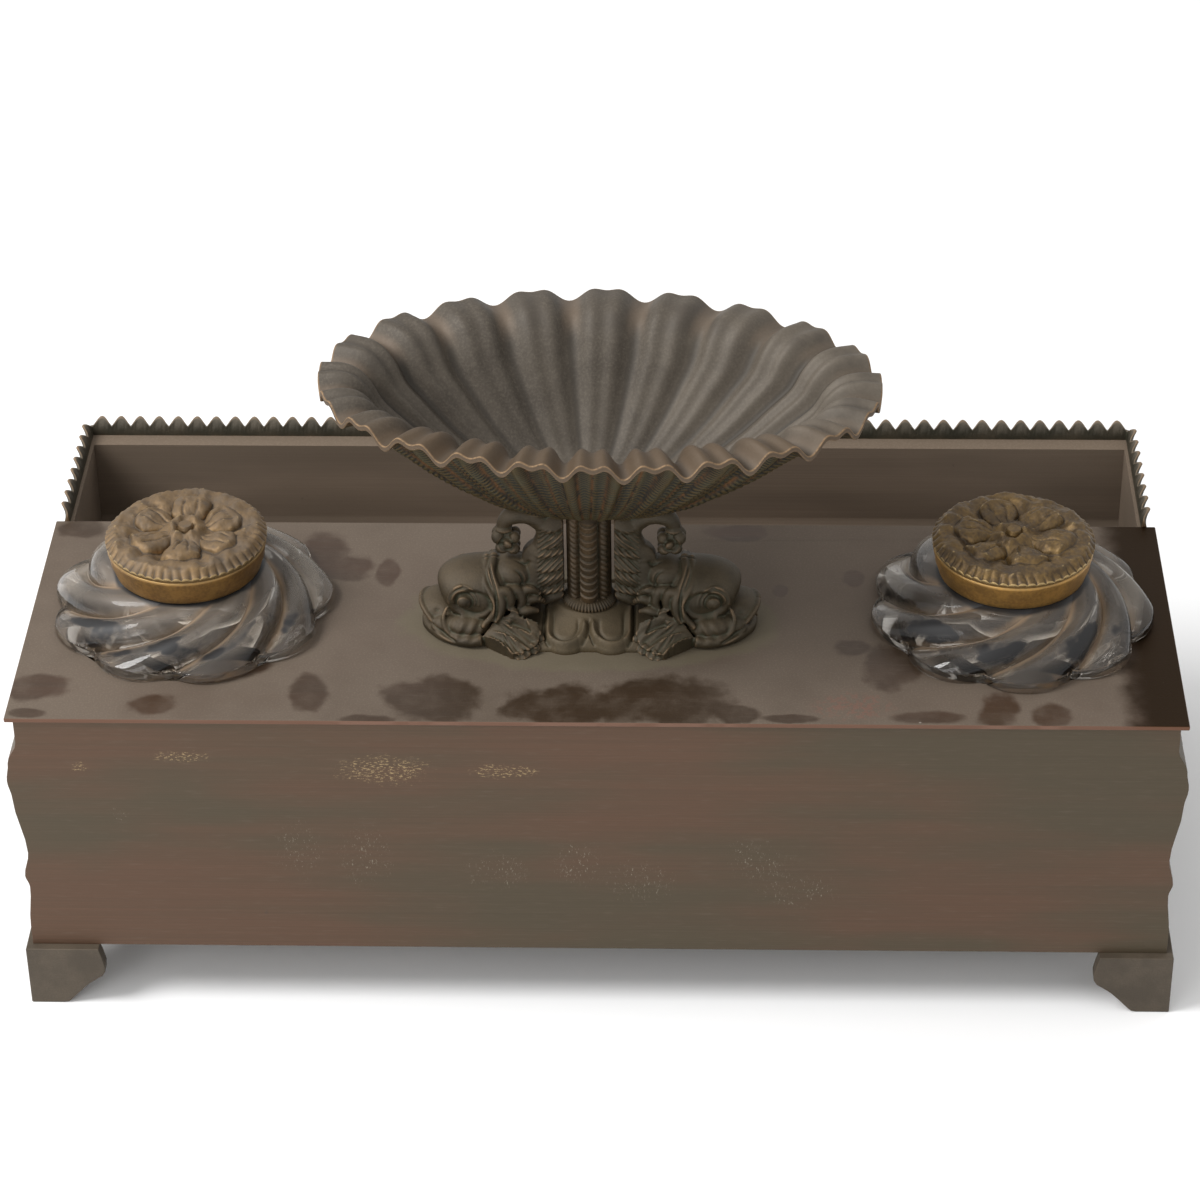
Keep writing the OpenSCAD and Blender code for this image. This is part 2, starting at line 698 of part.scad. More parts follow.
// Room for the skirt and tongues of the stand's foot.
module dolphin_skirt_clear() {
    translate([0, 0, -1]) hull() {
        translate([-skirt_x - 0.2, lobe_r - lobe_reach - 0.2, 0])
            cube([2 * skirt_x + 0.4, 2 * (lobe_reach - lobe_r) + 0.4, 2.8]);
        cylinder(r = collar_ring_r + 0.2, h = mound_h + ring_t + 1);
    }
}

module dolphin_left() {
    color(dark_bronze) at_stand() mirror([1, 0, 0]) dolphin();
}

module dolphin_right() {
    color(dark_bronze) at_stand() dolphin();
}

module dolphin_screws() {
    color(iron) at_stand() for (s = [-1, 1]) translate([s * dolphin_screw_x, 0, 0]) {
        translate([0, 0, -plate_t - head_h]) cylinder(r = head_r, h = head_h);
        translate([0, 0, -plate_t]) cylinder(r = screw_r, h = plate_t + 6);
    }
}

// ---------------------------------------------------------------- dish
dish_steps = 8;
// The dish from foot to lip: share of the bowl's width, share of the lip's width, share of the
// height, share of a flute's depth, and tilt of the face in degrees.
dish_line = [
    [0.19, 0, 0, 0, 0], [0.36, 0, 0.03, 0.06, 12], [0.55, 0, 0.145, 0.18, 28], [0.75, 0, 0.36, 0.34, 42],
    [0.9, 0, 0.57, 0.5, 48], [1, 0, 0.72, 0.65, 50], [1, 0.2, 0.87, 0.82, 44], [1, 0.4, 0.965, 0.96, 24],
    [1, 0.65, 1, 1, 4], [1, 1, 0.985, 1, -4]];

// The lobes are broader at the ends of the oval than along its sides.
function lobe_turn(a) = a + 8 - 6.6 * cos(a) + 0.9 * sin(a) + 1.5 * cos(2 * a) + 3.9 * sin(2 * a);
// Broad lobes with a soft groove, and narrow valleys between, from -0.7 to 0.3.
function lobe_wave(t) = 0.42 * cos(t) - 0.24 * cos(2 * t) - 0.02 * cos(3 * t) - 0.05;

// Place on the dish: station, step round the rim, and depth below its inner face.
function dish_point(i, j, depth) = let (
        at = dish_line[i],
        a = lobe_turn(360 * j / (flutes * dish_steps)),
        wide = (dish_a - dish_flare) * at[0] + dish_flare * at[1],
        deep = (dish_b - dish_flare) * at[0] + dish_flare * at[1],
        lift = flute_d * at[3] * lobe_wave(360 * j / dish_steps) - depth,
        out = -sin(at[4]) * lift,
        sink = i / (len(dish_line) - 1) * (dish_drop * cos(a) + dish_sag * pow(cos(a), 2)))
    [(wide + out) * cos(a) + dish_lean_x * wide / dish_a, (deep + out) * sin(a) + dish_lean_y * deep / dish_b,
        dish_h * at[2] + cos(at[4]) * lift + dish_t - sink];

module dish() {
    last = len(dish_line) - 1;
    n = flutes * dish_steps;
    outer = [for (i = [0:last]) [for (j = [0:n - 1]) dish_point(i, j, dish_t * (i == last ? 0.75 : 1))]];
    inner = [for (i = [last:-1:0]) [for (j = [0:n - 1]) dish_point(i, j, 0)]];
    color(dark_bronze) translate([stand_x, stand_y, dish_z]) difference() {
        skin(concat(outer, inner));
        translate([0, 0, -5]) cylinder(r = tie_r + hole_clear, h = dish_h);
    }
}

// ---------------------------------------------------------------- tie rod
tie_head_r = 4.5;
tie_head_h = 2.2;
washer_t = 1.2;
washer_r = 9;
tie_nut_h = nut_h;

module tie_rod() {
    top = stand_h + dish_t;
    below = plate_t + washer_t + tie_nut_h + 3;
    color(iron) at_stand() {
        translate([0, 0, -below]) cylinder(r = tie_r, h = below + top);
        translate([0, 0, top]) cylinder(r1 = tie_head_r, r2 = tie_head_r - 1.5, h = tie_head_h);
    }
}

module tie_washer() {
    color(iron) at_stand() translate([0, 0, -plate_t - washer_t]) difference() {
        cylinder(r = washer_r, h = washer_t);
        translate([0, 0, -1]) cylinder(r = tie_r + hole_clear, h = washer_t + 2);
    }
}

module tie_nut() {
    color(iron) at_stand() translate([0, 0, -plate_t - washer_t - tie_nut_h]) nut(tie_r);
}

rear_panel();
front_moulding();
mirror([1, 0, 0]) side_moulding();  // left_moulding
side_moulding();  // right_moulding
leaf_rim();
top_plate();
pen_trough();
corner_brackets();
plate_brackets();
mirror([1, 0, 0]) mirror([0, 1, 0]) foot();  // foot_rear_left
mirror([0, 1, 0]) foot();  // foot_rear_right
mirror([1, 0, 0]) foot();  // foot_front_left
foot();  // foot_front_right
foot_screws();
foot_nuts();
plate_studs();
plate_nuts();
inkwell(-1);  // inkwell_left
inkwell(1);  // inkwell_right
lid_ring(-1);  // lid_ring_left
lid_ring(1);  // lid_ring_right
lid_sleeve(-1);  // lid_sleeve_left
lid_sleeve(1);  // lid_sleeve_right
lid_rosette(-1);  // lid_rosette_left
lid_rosette(1);  // lid_rosette_right
lid_pin(-1);  // lid_pin_left
lid_pin(1);  // lid_pin_right
stand_base();
column_ring();
column();
dolphin_left();
dolphin_right();
dolphin_screws();
dish();
tie_rod();
tie_washer();
tie_nut();
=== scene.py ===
# %% [markdown]
# # A desk inkstand in old bronze
#
# The part arrives as a frame of plain solids, one for each piece that the real inkstand is made
# of. This lesson gives them their looks. Sheet metal keeps its solid and gets softened edges;
# glass, castings and gilt relief are built here as fine meshes that stand for their solids.

import json
import math

import bpy
import numpy as np
from mathutils import Matrix, Vector, noise


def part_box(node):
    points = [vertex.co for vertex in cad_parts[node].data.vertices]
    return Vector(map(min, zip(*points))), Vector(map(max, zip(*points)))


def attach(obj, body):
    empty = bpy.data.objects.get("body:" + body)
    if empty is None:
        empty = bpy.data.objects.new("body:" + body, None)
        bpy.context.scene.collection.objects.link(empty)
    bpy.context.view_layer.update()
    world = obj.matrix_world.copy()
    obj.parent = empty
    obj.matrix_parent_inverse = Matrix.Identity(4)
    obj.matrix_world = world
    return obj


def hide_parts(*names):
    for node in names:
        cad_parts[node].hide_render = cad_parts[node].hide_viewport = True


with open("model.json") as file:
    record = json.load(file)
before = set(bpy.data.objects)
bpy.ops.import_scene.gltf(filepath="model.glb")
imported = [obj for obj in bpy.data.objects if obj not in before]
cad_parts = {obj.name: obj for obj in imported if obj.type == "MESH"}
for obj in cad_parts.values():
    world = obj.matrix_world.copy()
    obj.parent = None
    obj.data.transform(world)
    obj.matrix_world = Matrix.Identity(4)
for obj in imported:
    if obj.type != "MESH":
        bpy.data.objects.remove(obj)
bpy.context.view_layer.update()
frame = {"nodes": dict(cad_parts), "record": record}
MM = 0.001
print("solids in the frame:", len(frame["nodes"]))


# %% [markdown]
# ## Sizes from the solids
#
# Every place and size below is read from the box of a solid, in millimetres, so the fine
# pieces stay where the plain ones are when a size changes.

# %% Measure the solids
def box_mm(node):
    low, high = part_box(node)
    return Vector(low) / MM, Vector(high) / MM


def middle(node):
    low, high = box_mm(node)
    return (low + high) / 2


plate_low, plate_high = box_mm("top_plate")
panel_low, panel_high = box_mm("rear_panel")
trough_low, trough_high = box_mm("pen_trough")
PLATE = plate_high.z
STAND = Vector((middle("column").x, middle("column").y, PLATE))
print("plate top", round(PLATE, 1), "stand at", [round(v, 1) for v in STAND])

# %% [markdown]
# ## The camera
#
# The camera looks down on the plain long panel from a little to its right. Its lens is given by
# the focal length in pixels of a square frame, which is what a camera match works out.

# %% Camera
FRAME_PIXELS = 1200
FOCAL_PIXELS = 3734.7
EYE = Vector((29.5, -887.0, 694.0)) * MM
YAW = math.radians(-1.94)
PITCH = math.radians(34.35)
ROLL = math.radians(-0.75)

ahead = Vector((math.sin(YAW) * math.cos(PITCH), math.cos(YAW) * math.cos(PITCH), -math.sin(PITCH)))
level = Vector((math.cos(YAW), -math.sin(YAW), 0))
above = level.cross(ahead)
across = level * math.cos(ROLL) + above * math.sin(ROLL)
upward = above * math.cos(ROLL) - level * math.sin(ROLL)

lens = bpy.data.cameras.new("camera")
lens.sensor_width = 36
lens.lens = lens.sensor_width * FOCAL_PIXELS / FRAME_PIXELS
camera = bpy.data.objects.new("camera", lens)
camera.matrix_world = Matrix.Translation(EYE) @ Matrix((across, upward, -ahead)).transposed().to_4x4()
bpy.context.scene.collection.objects.link(camera)
bpy.context.scene.camera = camera
print("lens", round(lens.lens, 1), "mm")

# %% [markdown]
# ## Meshes from rings
#
# Most pieces here are skins over rows of points: the profile of a moulding repeated along its
# length, or the outline of a bowl repeated from foot to lip. One helper makes them all from an
# array of points, row by row, and closes the ends with fans.

# %% Skin helper
def new_piece(name, points, faces, smooth=True):
    mesh = bpy.data.meshes.new(name)
    mesh.from_pydata([tuple(p) for p in np.asarray(points, float) * MM], [], faces)
    mesh.validate()
    mesh.update()
    if smooth:
        mesh.polygons.foreach_set("use_smooth", [True] * len(mesh.polygons))
    piece = bpy.data.objects.new(name, mesh)
    bpy.context.scene.collection.objects.link(piece)
    return piece


def skin_data(rows, round_rows=True, looped=False, capped=True):
    """Points and faces over rows of equal length; round rows join their ends."""
    rows = np.asarray(rows, float)
    count, width = rows.shape[:2]
    points = [p for row in rows for p in row]
    faces = []
    last = count if looped else count - 1
    for i in range(last):
        below, over = i * width, (i + 1) % count * width
        for j in range(width if round_rows else width - 1):
            k = (j + 1) % width
            faces.append((below + j, below + k, over + k, over + j))
    if capped and not looped:
        for start, flip in ((0, True), ((count - 1) * width, False)):
            points.append(np.mean(points[start:start + width], axis=0))
            hub = len(points) - 1
            for j in range(width):
                k = (j + 1) % width
                rim = (start + k, start + j) if flip else (start + j, start + k)
                faces.append((rim[0], rim[1], hub))
    return points, faces


def skin(name, rows, **how):
    return new_piece(name, *skin_data(rows, **how))


# %% Several skins in one mesh
def merge_skins(parts):
    """Joins (points, faces) pairs into one pair."""
    points, faces = [], []
    for some_points, some_faces in parts:
        start = len(points)
        points.extend(some_points)
        faces.extend([tuple(start + v for v in face) for face in some_faces])
    return points, faces


def sharpen(piece, degrees=40):
    """Keeps creases above an angle crisp under smooth shading."""
    piece.data.set_sharp_from_angle(angle=math.radians(degrees))


def fix_normals(piece):
    """Turns all faces outwards, whatever way round their rows were laid."""
    import bmesh
    work = bmesh.new()
    work.from_mesh(piece.data)
    bmesh.ops.recalc_face_normals(work, faces=work.faces)
    work.to_mesh(piece.data)
    work.free()


# %% [markdown]
# ## Relief marks
#
# Old bronze is bright where hands rub it and dull where they can't reach. The shader needs to
# know which points stand out and which lie deep, so each fine mesh carries a number per point:
# positive on ridges, negative in hollows. It is the mean slope towards the neighbours, smoothed.

# %% Mark ridges and hollows
def mark_relief(piece, passes=3, strength=4.0):
    mesh = piece.data
    count = len(mesh.vertices)
    places = np.zeros(count * 3)
    mesh.vertices.foreach_get("co", places)
    places = places.reshape(-1, 3)
    normals = np.zeros(count * 3)
    mesh.vertex_normals.foreach_get("vector", normals)
    normals = normals.reshape(-1, 3)
    edges = np.zeros(len(mesh.edges) * 2, int)
    mesh.edges.foreach_get("vertices", edges)
    a, b = edges.reshape(-1, 2).T
    step = places[b] - places[a]
    length = np.linalg.norm(step, axis=1) + 1e-9
    total, uses = np.zeros(count), np.zeros(count)
    np.add.at(total, a, -np.einsum("ij,ij->i", normals[a], step) / length)
    np.add.at(total, b, np.einsum("ij,ij->i", normals[b], step) / length)
    np.add.at(uses, a, 1)
    np.add.at(uses, b, 1)
    mark = total / np.maximum(uses, 1)
    for _ in range(passes):
        spread = np.zeros(count)
        np.add.at(spread, a, mark[b])
        np.add.at(spread, b, mark[a])
        mark = (mark + spread / np.maximum(uses, 1)) / 2
    mark = np.clip(mark * strength, -1, 1)
    field = mesh.attributes.new("relief", "FLOAT", "POINT")
    field.data.foreach_set("value", mark)
    return piece


# %% [markdown]
# ## Placing a finished piece
#
# Each piece rides on the body of the solid that it stands for, gets its finish and hides that solid.
# Plain solids that stay are softened instead: their edges get a narrow bevel,
# because no real edge is razor sharp, and light needs a rounded edge to catch.

# %% Finish helpers
bodies_of = {node: body for body, nodes in frame["record"]["behaviour"]["bodies"].items() for node in nodes}


def place(piece, finish, *nodes):
    """Gives a piece its finish, and lets it stand for these solids."""
    piece.data.materials.clear()
    piece.data.materials.append(finish)
    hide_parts(*nodes)
    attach(piece, bodies_of[nodes[0]])
    print(piece.name, "points:", len(piece.data.vertices))
    return piece


def dress(node, finish, bevel_mm=0.3):
    """A solid that stays: edges softened, finish assigned."""
    solid = frame["nodes"][node]
    for slot in solid.material_slots:
        slot.material = finish
    weld = solid.modifiers.new("weld", "WELD")
    weld.merge_threshold = 0.00002
    bevel = solid.modifiers.new("soft edges", "BEVEL")
    bevel.width = bevel_mm * MM
    bevel.segments = 2
    bevel.limit_method = "ANGLE"
    bevel.angle_limit = math.radians(35)
    bevel.harden_normals = True
    return solid


# %% [markdown]
# ## Shader sums
#
# A finish is easier to read as a sum than as a web of nodes. This class wraps a socket, so that
# adding or multiplying two of them adds the Math node that does it.

# %% Sockets as numbers
class Value:
    """A socket that takes part in sums."""

    def __init__(self, finish, socket):
        self.finish, self.socket = finish, socket

    def __add__(self, other):
        return self.finish.math("ADD", self, other)

    def __sub__(self, other):
        return self.finish.math("SUBTRACT", self, other)

    def __mul__(self, other):
        return self.finish.math("MULTIPLY", self, other)

    def __truediv__(self, other):
        return self.finish.math("DIVIDE", self, other)

    def __pow__(self, other):
        return self.finish.math("POWER", self, other)

    def __rsub__(self, other):
        return self.finish.math("SUBTRACT", other, self)

    def __rtruediv__(self, other):
        return self.finish.math("DIVIDE", other, self)

    def __neg__(self):
        return self.finish.math("MULTIPLY", self, -1.0)

    __radd__ = __add__
    __rmul__ = __mul__


# %% Finish: one material and its nodes
class Finish:
    """A material with one Principled shader, and short names for the nodes that feed it."""

    def __init__(self, name, **numbers):
        self.material = bpy.data.materials.new(name)
        self.material.use_nodes = True
        self.tree = self.material.node_tree
        self.tree.nodes.clear()
        self.shader = self.tree.nodes.new("ShaderNodeBsdfPrincipled")
        out = self.tree.nodes.new("ShaderNodeOutputMaterial")
        self.tree.links.new(self.shader.outputs[0], out.inputs[0])
        for socket, number in numbers.items():
            self.shader.inputs[socket.replace("_", " ")].default_value = number
        self.place = self.node("TexCoord", output="Object")

    def feed(self, socket, value):
        if isinstance(value, Value):
            self.tree.links.new(value.socket, socket)
        elif isinstance(value, tuple) and len(value) == 3 and socket.type == "RGBA":
            socket.default_value = (*value, 1)
        else:
            socket.default_value = value

    def node(self, kind, settings=None, inputs=None, output=0):
        made = self.tree.nodes.new("ShaderNode" + kind)
        for key, value in (settings or {}).items():
            setattr(made, key, value)
        for key, value in (inputs or {}).items():
            self.feed(made.inputs[key], value)
        return Value(self, made.outputs[output])

    def math(self, operation, first, second=0.0, clamp=False):
        return self.node("Math", {"operation": operation, "use_clamp": clamp}, {0: first, 1: second})

    def mix(self, share, a, b):
        """Colour a where share is 0, colour b where it is 1."""
        return self.node("Mix", {"data_type": "RGBA", "clamp_factor": True}, {0: share, 6: a, 7: b}, output=2)

    def stretch(self, x, y, z):
        return self.node("VectorMath", {"operation": "MULTIPLY"}, {0: self.place, 1: (x, y, z)})

    def cloud(self, size_mm, detail=3.0, rough=0.5, where=None, seed=0.0):
        """Soft noise from 0 to 1 with blotches of about this size."""
        where = where or self.place
        return self.node("TexNoise", {"noise_dimensions": "4D"},
                         {"Vector": where, "W": seed, "Scale": 1 / (size_mm * MM), "Detail": detail,
                          "Roughness": rough})

    def step(self, value, low, high):
        """0 below low, 1 above high, smooth between; low may be above high."""
        return self.node("MapRange", {"interpolation_type": "SMOOTHSTEP"},
                         {0: value, 1: low, 2: high, 3: 0.0, 4: 1.0})

    def axis(self, name):
        return self.node("SeparateXYZ", inputs={0: self.place}, output=name)

    def relief(self, name="relief"):
        return self.node("Attribute", {"attribute_name": name}, output="Fac")

    def facing_up(self):
        up = self.node("NewGeometry", output="Normal")
        return self.node("SeparateXYZ", inputs={0: up}, output="Z")

    def bump(self, height, depth_mm, strength=1.0, under=None):
        inputs = {"Height": height, "Distance": depth_mm * MM, "Strength": strength}
        if under is not None:
            inputs["Normal"] = under
        return self.node("Bump", inputs=inputs)

    def finish(self, **sockets):
        for socket, value in sockets.items():
            self.feed(self.shader.inputs[socket.replace("_", " ")], value)
        return self.material


# %% [markdown]
# ## Cast bronze
#
# The castings are dark olive brown. Dust lies on what faces up, green sits in hollows, and
# copper shows on ridges. The three masks come from the relief marks, the way a face points and
# some noise, and they drive colour, roughness and metal together, so that they agree.

# %% Cast bronze
DUST = (0.175, 0.14, 0.102)
COPPER = (0.3, 0.195, 0.11)
VERDIGRIS = (0.03, 0.031, 0.015)
DISH_DARK, DISH_LIGHT = (0.058, 0.046, 0.034), (0.092, 0.075, 0.056)


def cast_bronze(name, dark, light, dust=0.5, green=0.5, wear=0.5, rough=0.55, grain_mm=0.5, film=DUST):
    bronze = Finish(name)
    relief = bronze.relief()
    blotch = bronze.cloud(9, detail=5, rough=0.6)
    grain = bronze.cloud(grain_mm, detail=3, seed=3)
    tone = bronze.mix(bronze.step(blotch, 0.35, 0.68), dark, light)
    tone = bronze.mix(bronze.step(grain, 0.3, 0.75) * 0.35, tone, tuple(c * 0.6 for c in dark))
    hollow = bronze.step(relief, -0.02, -0.5)
    greened = bronze.math("MULTIPLY", hollow * green + bronze.step(blotch, 0.62, 0.75) * green * 0.35, 1, True)
    tone = bronze.mix(greened, tone, VERDIGRIS)
    up = bronze.step(bronze.facing_up(), 0.15, 0.95)
    speckle = bronze.cloud(0.35, detail=2, seed=7)
    dusty = up * dust * (bronze.step(speckle, 0.2, 0.6) * 0.45 + 0.55) * (bronze.step(blotch, 0.25, 0.55) * 0.4 + 0.6)
    tone = bronze.mix(dusty, tone, film)
    worn = bronze.step(relief + (grain - 0.5) * 0.3, 0.34, 0.95) * wear
    tone = bronze.mix(worn, tone, COPPER)
    bumps = bronze.bump(grain, 0.12, 0.7)
    return bronze.finish(
        Base_Color=tone, Metallic=worn * 0.5 + (1 - dusty) * 0.3,
        Roughness=dusty * (0.9 - rough) + rough - worn * 0.12, Normal=bumps)


stand_finish = cast_bronze("stand bronze", (0.029, 0.02, 0.0085), (0.054, 0.037, 0.017), dust=0.45, green=0.8, wear=0.4,
                           film=(0.108, 0.076, 0.041))
# A copy of the stand bronze for the right dolphin, with less of the pale film on its upper faces: painted shade.
stand_finish_painted_shade = cast_bronze("stand bronze with painted shade", (0.034, 0.025, 0.011), (0.06, 0.043, 0.022), dust=0.25, green=0.8,
                            wear=0.35, film=(0.12, 0.087, 0.05))
stand_foot_finish = cast_bronze("foot of stand bronze", (0.058, 0.042, 0.02), (0.1, 0.072, 0.036), dust=0.3, green=0.5, wear=0.35,
                                film=(0.15, 0.112, 0.07))
case_finish = cast_bronze("case bronze", (0.07, 0.06, 0.042), (0.115, 0.092, 0.066), dust=0.3, green=0.5, wear=0.3)
foot_finish = cast_bronze("foot bronze", (0.062, 0.047, 0.031), (0.09, 0.069, 0.047), dust=0.3, green=0.2, wear=0.2,
                          film=(0.13, 0.1, 0.07))
print("cast bronze finishes made")

# %% [markdown]
# ## Sheet bronze
#
# The panels are rolled sheet, browned and brushed along their length. The panel's tone wanders
# between olive and a faint red, with fine brush lines, dark specks, and a few places where
# something has scraped through to brass.

# %% Brushed sheet
BRASS = (0.32, 0.235, 0.13)


def brushed_sheet(name, olive, red, rough=0.5, seed=0.0):
    sheet = Finish(name)
    lines = sheet.cloud(2.0, detail=4, where=sheet.stretch(0.02, 1, 6), seed=seed)
    broad = sheet.cloud(60, detail=3, where=sheet.stretch(0.6, 1, 1.6), seed=seed + 1)
    bands = sheet.cloud(14, detail=4, where=sheet.stretch(0.16, 1, 1.4), seed=seed + 2)
    fine = sheet.cloud(0.8, detail=2, where=sheet.stretch(0.12, 1, 1), seed=seed + 3)
    tone = sheet.mix(sheet.step(broad * 0.6 + bands * 0.4, 0.4, 0.62), olive, red)
    tone = sheet.mix(sheet.step(lines, 0.3, 0.75) * 0.3, tone, tuple(c * 0.62 for c in olive))
    tone = sheet.mix(sheet.step(fine, 0.5, 0.9) * 0.22, tone, (0.16, 0.125, 0.095))
    speck = sheet.step(sheet.cloud(4.5, detail=5, rough=0.65, seed=seed + 5), 0.68, 0.75)
    tone = sheet.mix(speck * 0.5, tone, (0.045, 0.04, 0.04))
    height = lines * 0.5 + fine * 0.3
    return sheet, tone, height, rough


# %% Worn patches, placed one by one
def patch(finish, centre_mm, size_mm, soft=0.35, ragged=0.6, ragged_mm=3.0, axes="XZ", rag=None):
    """1 inside a ragged oval round centre, 0 outside it."""
    terms = []
    for axis, centre, size in zip(axes, centre_mm, size_mm):
        away = (finish.axis(axis) - centre * MM) / (size * MM)
        terms.append(away * away)
    ring = finish.math("SQRT", terms[0] + terms[1])
    if rag is None:
        rag = (finish.cloud(ragged_mm, detail=4, seed=centre_mm[0] * 0.1) - 0.5) * (2 * ragged)
    return finish.step(ring + rag, 1 + soft, 1 - soft)


def any_of(finish, masks):
    most = masks[0]
    for mask in masks[1:]:
        most = finish.math("MAXIMUM", most, mask)
    return most


# %% The panel's finish
panel, tone, height, rough = brushed_sheet("panel sheet", (0.071, 0.053, 0.03), (0.099, 0.052, 0.029))
speckle = panel.step(panel.cloud(0.5, detail=4, rough=0.7, where=panel.stretch(0.4, 1, 1), seed=11), 0.52, 0.6)
gold_spots = [((-113, 85.8), (7, 1.6)), ((-58, 81.8), (11, 4)), ((-24.5, 81.5), (8, 2)), ((-141, 82), (2, 1.5))]
gold = any_of(panel, [patch(panel, centre, size, ragged=0.9, ragged_mm=1.5) for centre, size in gold_spots])
tone = panel.mix(gold * speckle * 0.85, tone, (0.36, 0.26, 0.13))
pale_spots = [((-82, 54), (5, 8)), ((-64, 52), (6, 9)), ((-27, 47), (7, 5)), ((12, 44), (8, 6)), ((45, 52), (7, 6)),
              ((56, 41), (8, 5)), ((-5, 50), (6, 6)), ((-131, 66), (2, 2))]
flecks = panel.step(panel.cloud(0.45, detail=4, rough=0.7, where=panel.stretch(1, 1, 0.45), seed=13), 0.58, 0.66)
pale = any_of(panel, [patch(panel, centre, size, soft=0.6, ragged=0.8, ragged_mm=4) for centre, size in pale_spots])
tone = panel.mix(pale * flecks * 0.7, tone, (0.27, 0.24, 0.18))
panel_finish = panel.finish(Base_Color=tone, Metallic=0.35, Roughness=0.52 + height * 0.12,
                            Normal=panel.bump(height, 0.05, 0.6))
print("panel finish made")

# %% [markdown]
# ## The dusty plate
#
# The top plate was polished brown once. A grey film of dust now covers it, except where fingers
# and cloths have been: those patches are dark and half glossy, with the old red-brown showing.
# The patches are ovals with ragged edges, set out one by one in millimetres on the plate.

# %% The plate's finish
top, brown, height, rough = brushed_sheet("plate sheet", (0.041, 0.022, 0.009), (0.055, 0.024, 0.01), seed=20)
clean_spots = [((-44, -65), (13, 11)), ((-9, -68), (15, 10)), ((15, -66), (22, 11)), ((-121, -69), (6, 5)),
               ((-79, -63), (6, 8)), ((-61, -75), (7, 3)), ((-152, -61), (10, 6)), ((-154, -73), (5, 2)),
               ((-80, 6), (7, 12)), ((-73, -1), (7, 6)), ((-61, -4), (3, 6)), ((-152, 18), (8, 5)), ((38, -71), (6, 4)),
               ((53, -73), (7, 2)), ((90, -72), (9, 3)), ((109, -69), (6, 8)), ((153, -53), (6, 23)),
               ((70, -40), (5, 4)), ((72, -6), (3, 4)), ((51, -12), (2, 3)), ((81, -49), (8, 10)), ((40, 18), (10, 4)),
               ((123, -71), (6, 5)), ((-110, -50), (20, 7)), ((156, -10), (4, 60))]
edge_noise = (top.cloud(11, detail=3, seed=24) - 0.5) * 1.5 + (top.cloud(3, detail=4, seed=26) - 0.5) * 0.35
clean = any_of(top, [patch(top, c, s, soft=0.2, rag=edge_noise, axes="XY") for c, s in clean_spots])
clean = clean * (top.step(top.cloud(7, detail=5, rough=0.6, seed=28), 0.25, 0.6) * 0.4 + 0.6)
film = top.cloud(30, detail=4, rough=0.6, seed=21)
grit = top.step(top.cloud(0.55, detail=3, seed=22), 0.45, 0.75)
right_strip = top.step(top.axis("X") + (top.cloud(9, detail=4, seed=29) - 0.5) * 0.012, 0.141, 0.15)
dust = (1 - clean * 0.82) * (top.step(film, 0.25, 0.62) * 0.25 + 0.75) * (1 - right_strip * 0.93)
up = top.step(top.facing_up(), 0.5, 0.95)
dust_tone = top.mix(grit * 0.5, (0.131, 0.1, 0.074), (0.19, 0.15, 0.115))
tone = top.mix(dust * up * 0.88, brown, dust_tone)
stand_x, stand_y = top.axis("X") - STAND.x * MM, top.axis("Y") - STAND.y * MM
round_stand = top.math("SQRT", stand_x * stand_x * 0.22 + stand_y * stand_y) + (top.cloud(8, seed=30) - 0.5) * 0.006
greenish = top.step(round_stand, 0.0262, 0.0235)
tone = top.mix(right_strip * 0.95, tone, (0.03, 0.016, 0.006))
tone = top.mix(greenish * 0.4, tone, (0.14, 0.125, 0.072))
red_smear = patch(top, (70, -67), (9, 6), soft=0.5, axes="XY") * top.step(top.cloud(1.2, seed=25), 0.45, 0.6)
tone = top.mix(red_smear * 0.4, tone, (0.2, 0.08, 0.055))
edge = 1 - up
tone = top.mix(edge * 0.75, tone, (0.2, 0.105, 0.07))
white_speck = top.step(top.cloud(2.6, detail=1, seed=27), 0.8, 0.83)
tone = top.mix(white_speck * 0.5, tone, (0.4, 0.36, 0.31))
plate_finish = top.finish(
    Base_Color=tone, Metallic=0.4 - dust * up * 0.35 + right_strip * 0.6, Roughness=0.34 + dust * 0.5 + right_strip * 0.14,
    Normal=top.bump(grit * 0.5 + height, 0.05, 0.5))
print("plate finish made")

# %% The trough's finish
inside, tone, height, rough = brushed_sheet("trough sheet", (0.155, 0.118, 0.086), (0.22, 0.166, 0.122), seed=40)
film = inside.cloud(26, detail=4, where=inside.stretch(0.4, 1, 1), seed=41)
up = inside.step(inside.facing_up(), 0.3, 0.95)
grit = inside.step(inside.cloud(0.6, seed=42), 0.4, 0.75)
dust = up * 0.8 + inside.step(film, 0.35, 0.7) * 0.35
tone = inside.mix(dust, tone, inside.mix(grit * 0.5, (0.165, 0.123, 0.086), (0.235, 0.176, 0.128)))
trough_finish = inside.finish(Base_Color=tone, Metallic=0.2, Roughness=0.6 + dust * 0.25,
                              Normal=inside.bump(height + grit * 0.4, 0.05, 0.5))

# %% Iron, for the fixings that hide under the plate
iron = Finish("plain iron", Metallic=0.6)
rust = iron.step(iron.cloud(3, detail=4), 0.45, 0.65)
iron_finish = iron.finish(Base_Color=iron.mix(rust * 0.6, (0.09, 0.085, 0.08), (0.12, 0.07, 0.045)),
                          Roughness=0.5 + rust * 0.25, Normal=iron.bump(iron.cloud(0.8, detail=4), 0.08, 0.6))
print("sheet and iron finishes made")

# %% [markdown]
# ## Sheet pieces stay solids
#
# Flat sheet needs no finer mesh. The solids keep their shape and get a soft edge and a finish.

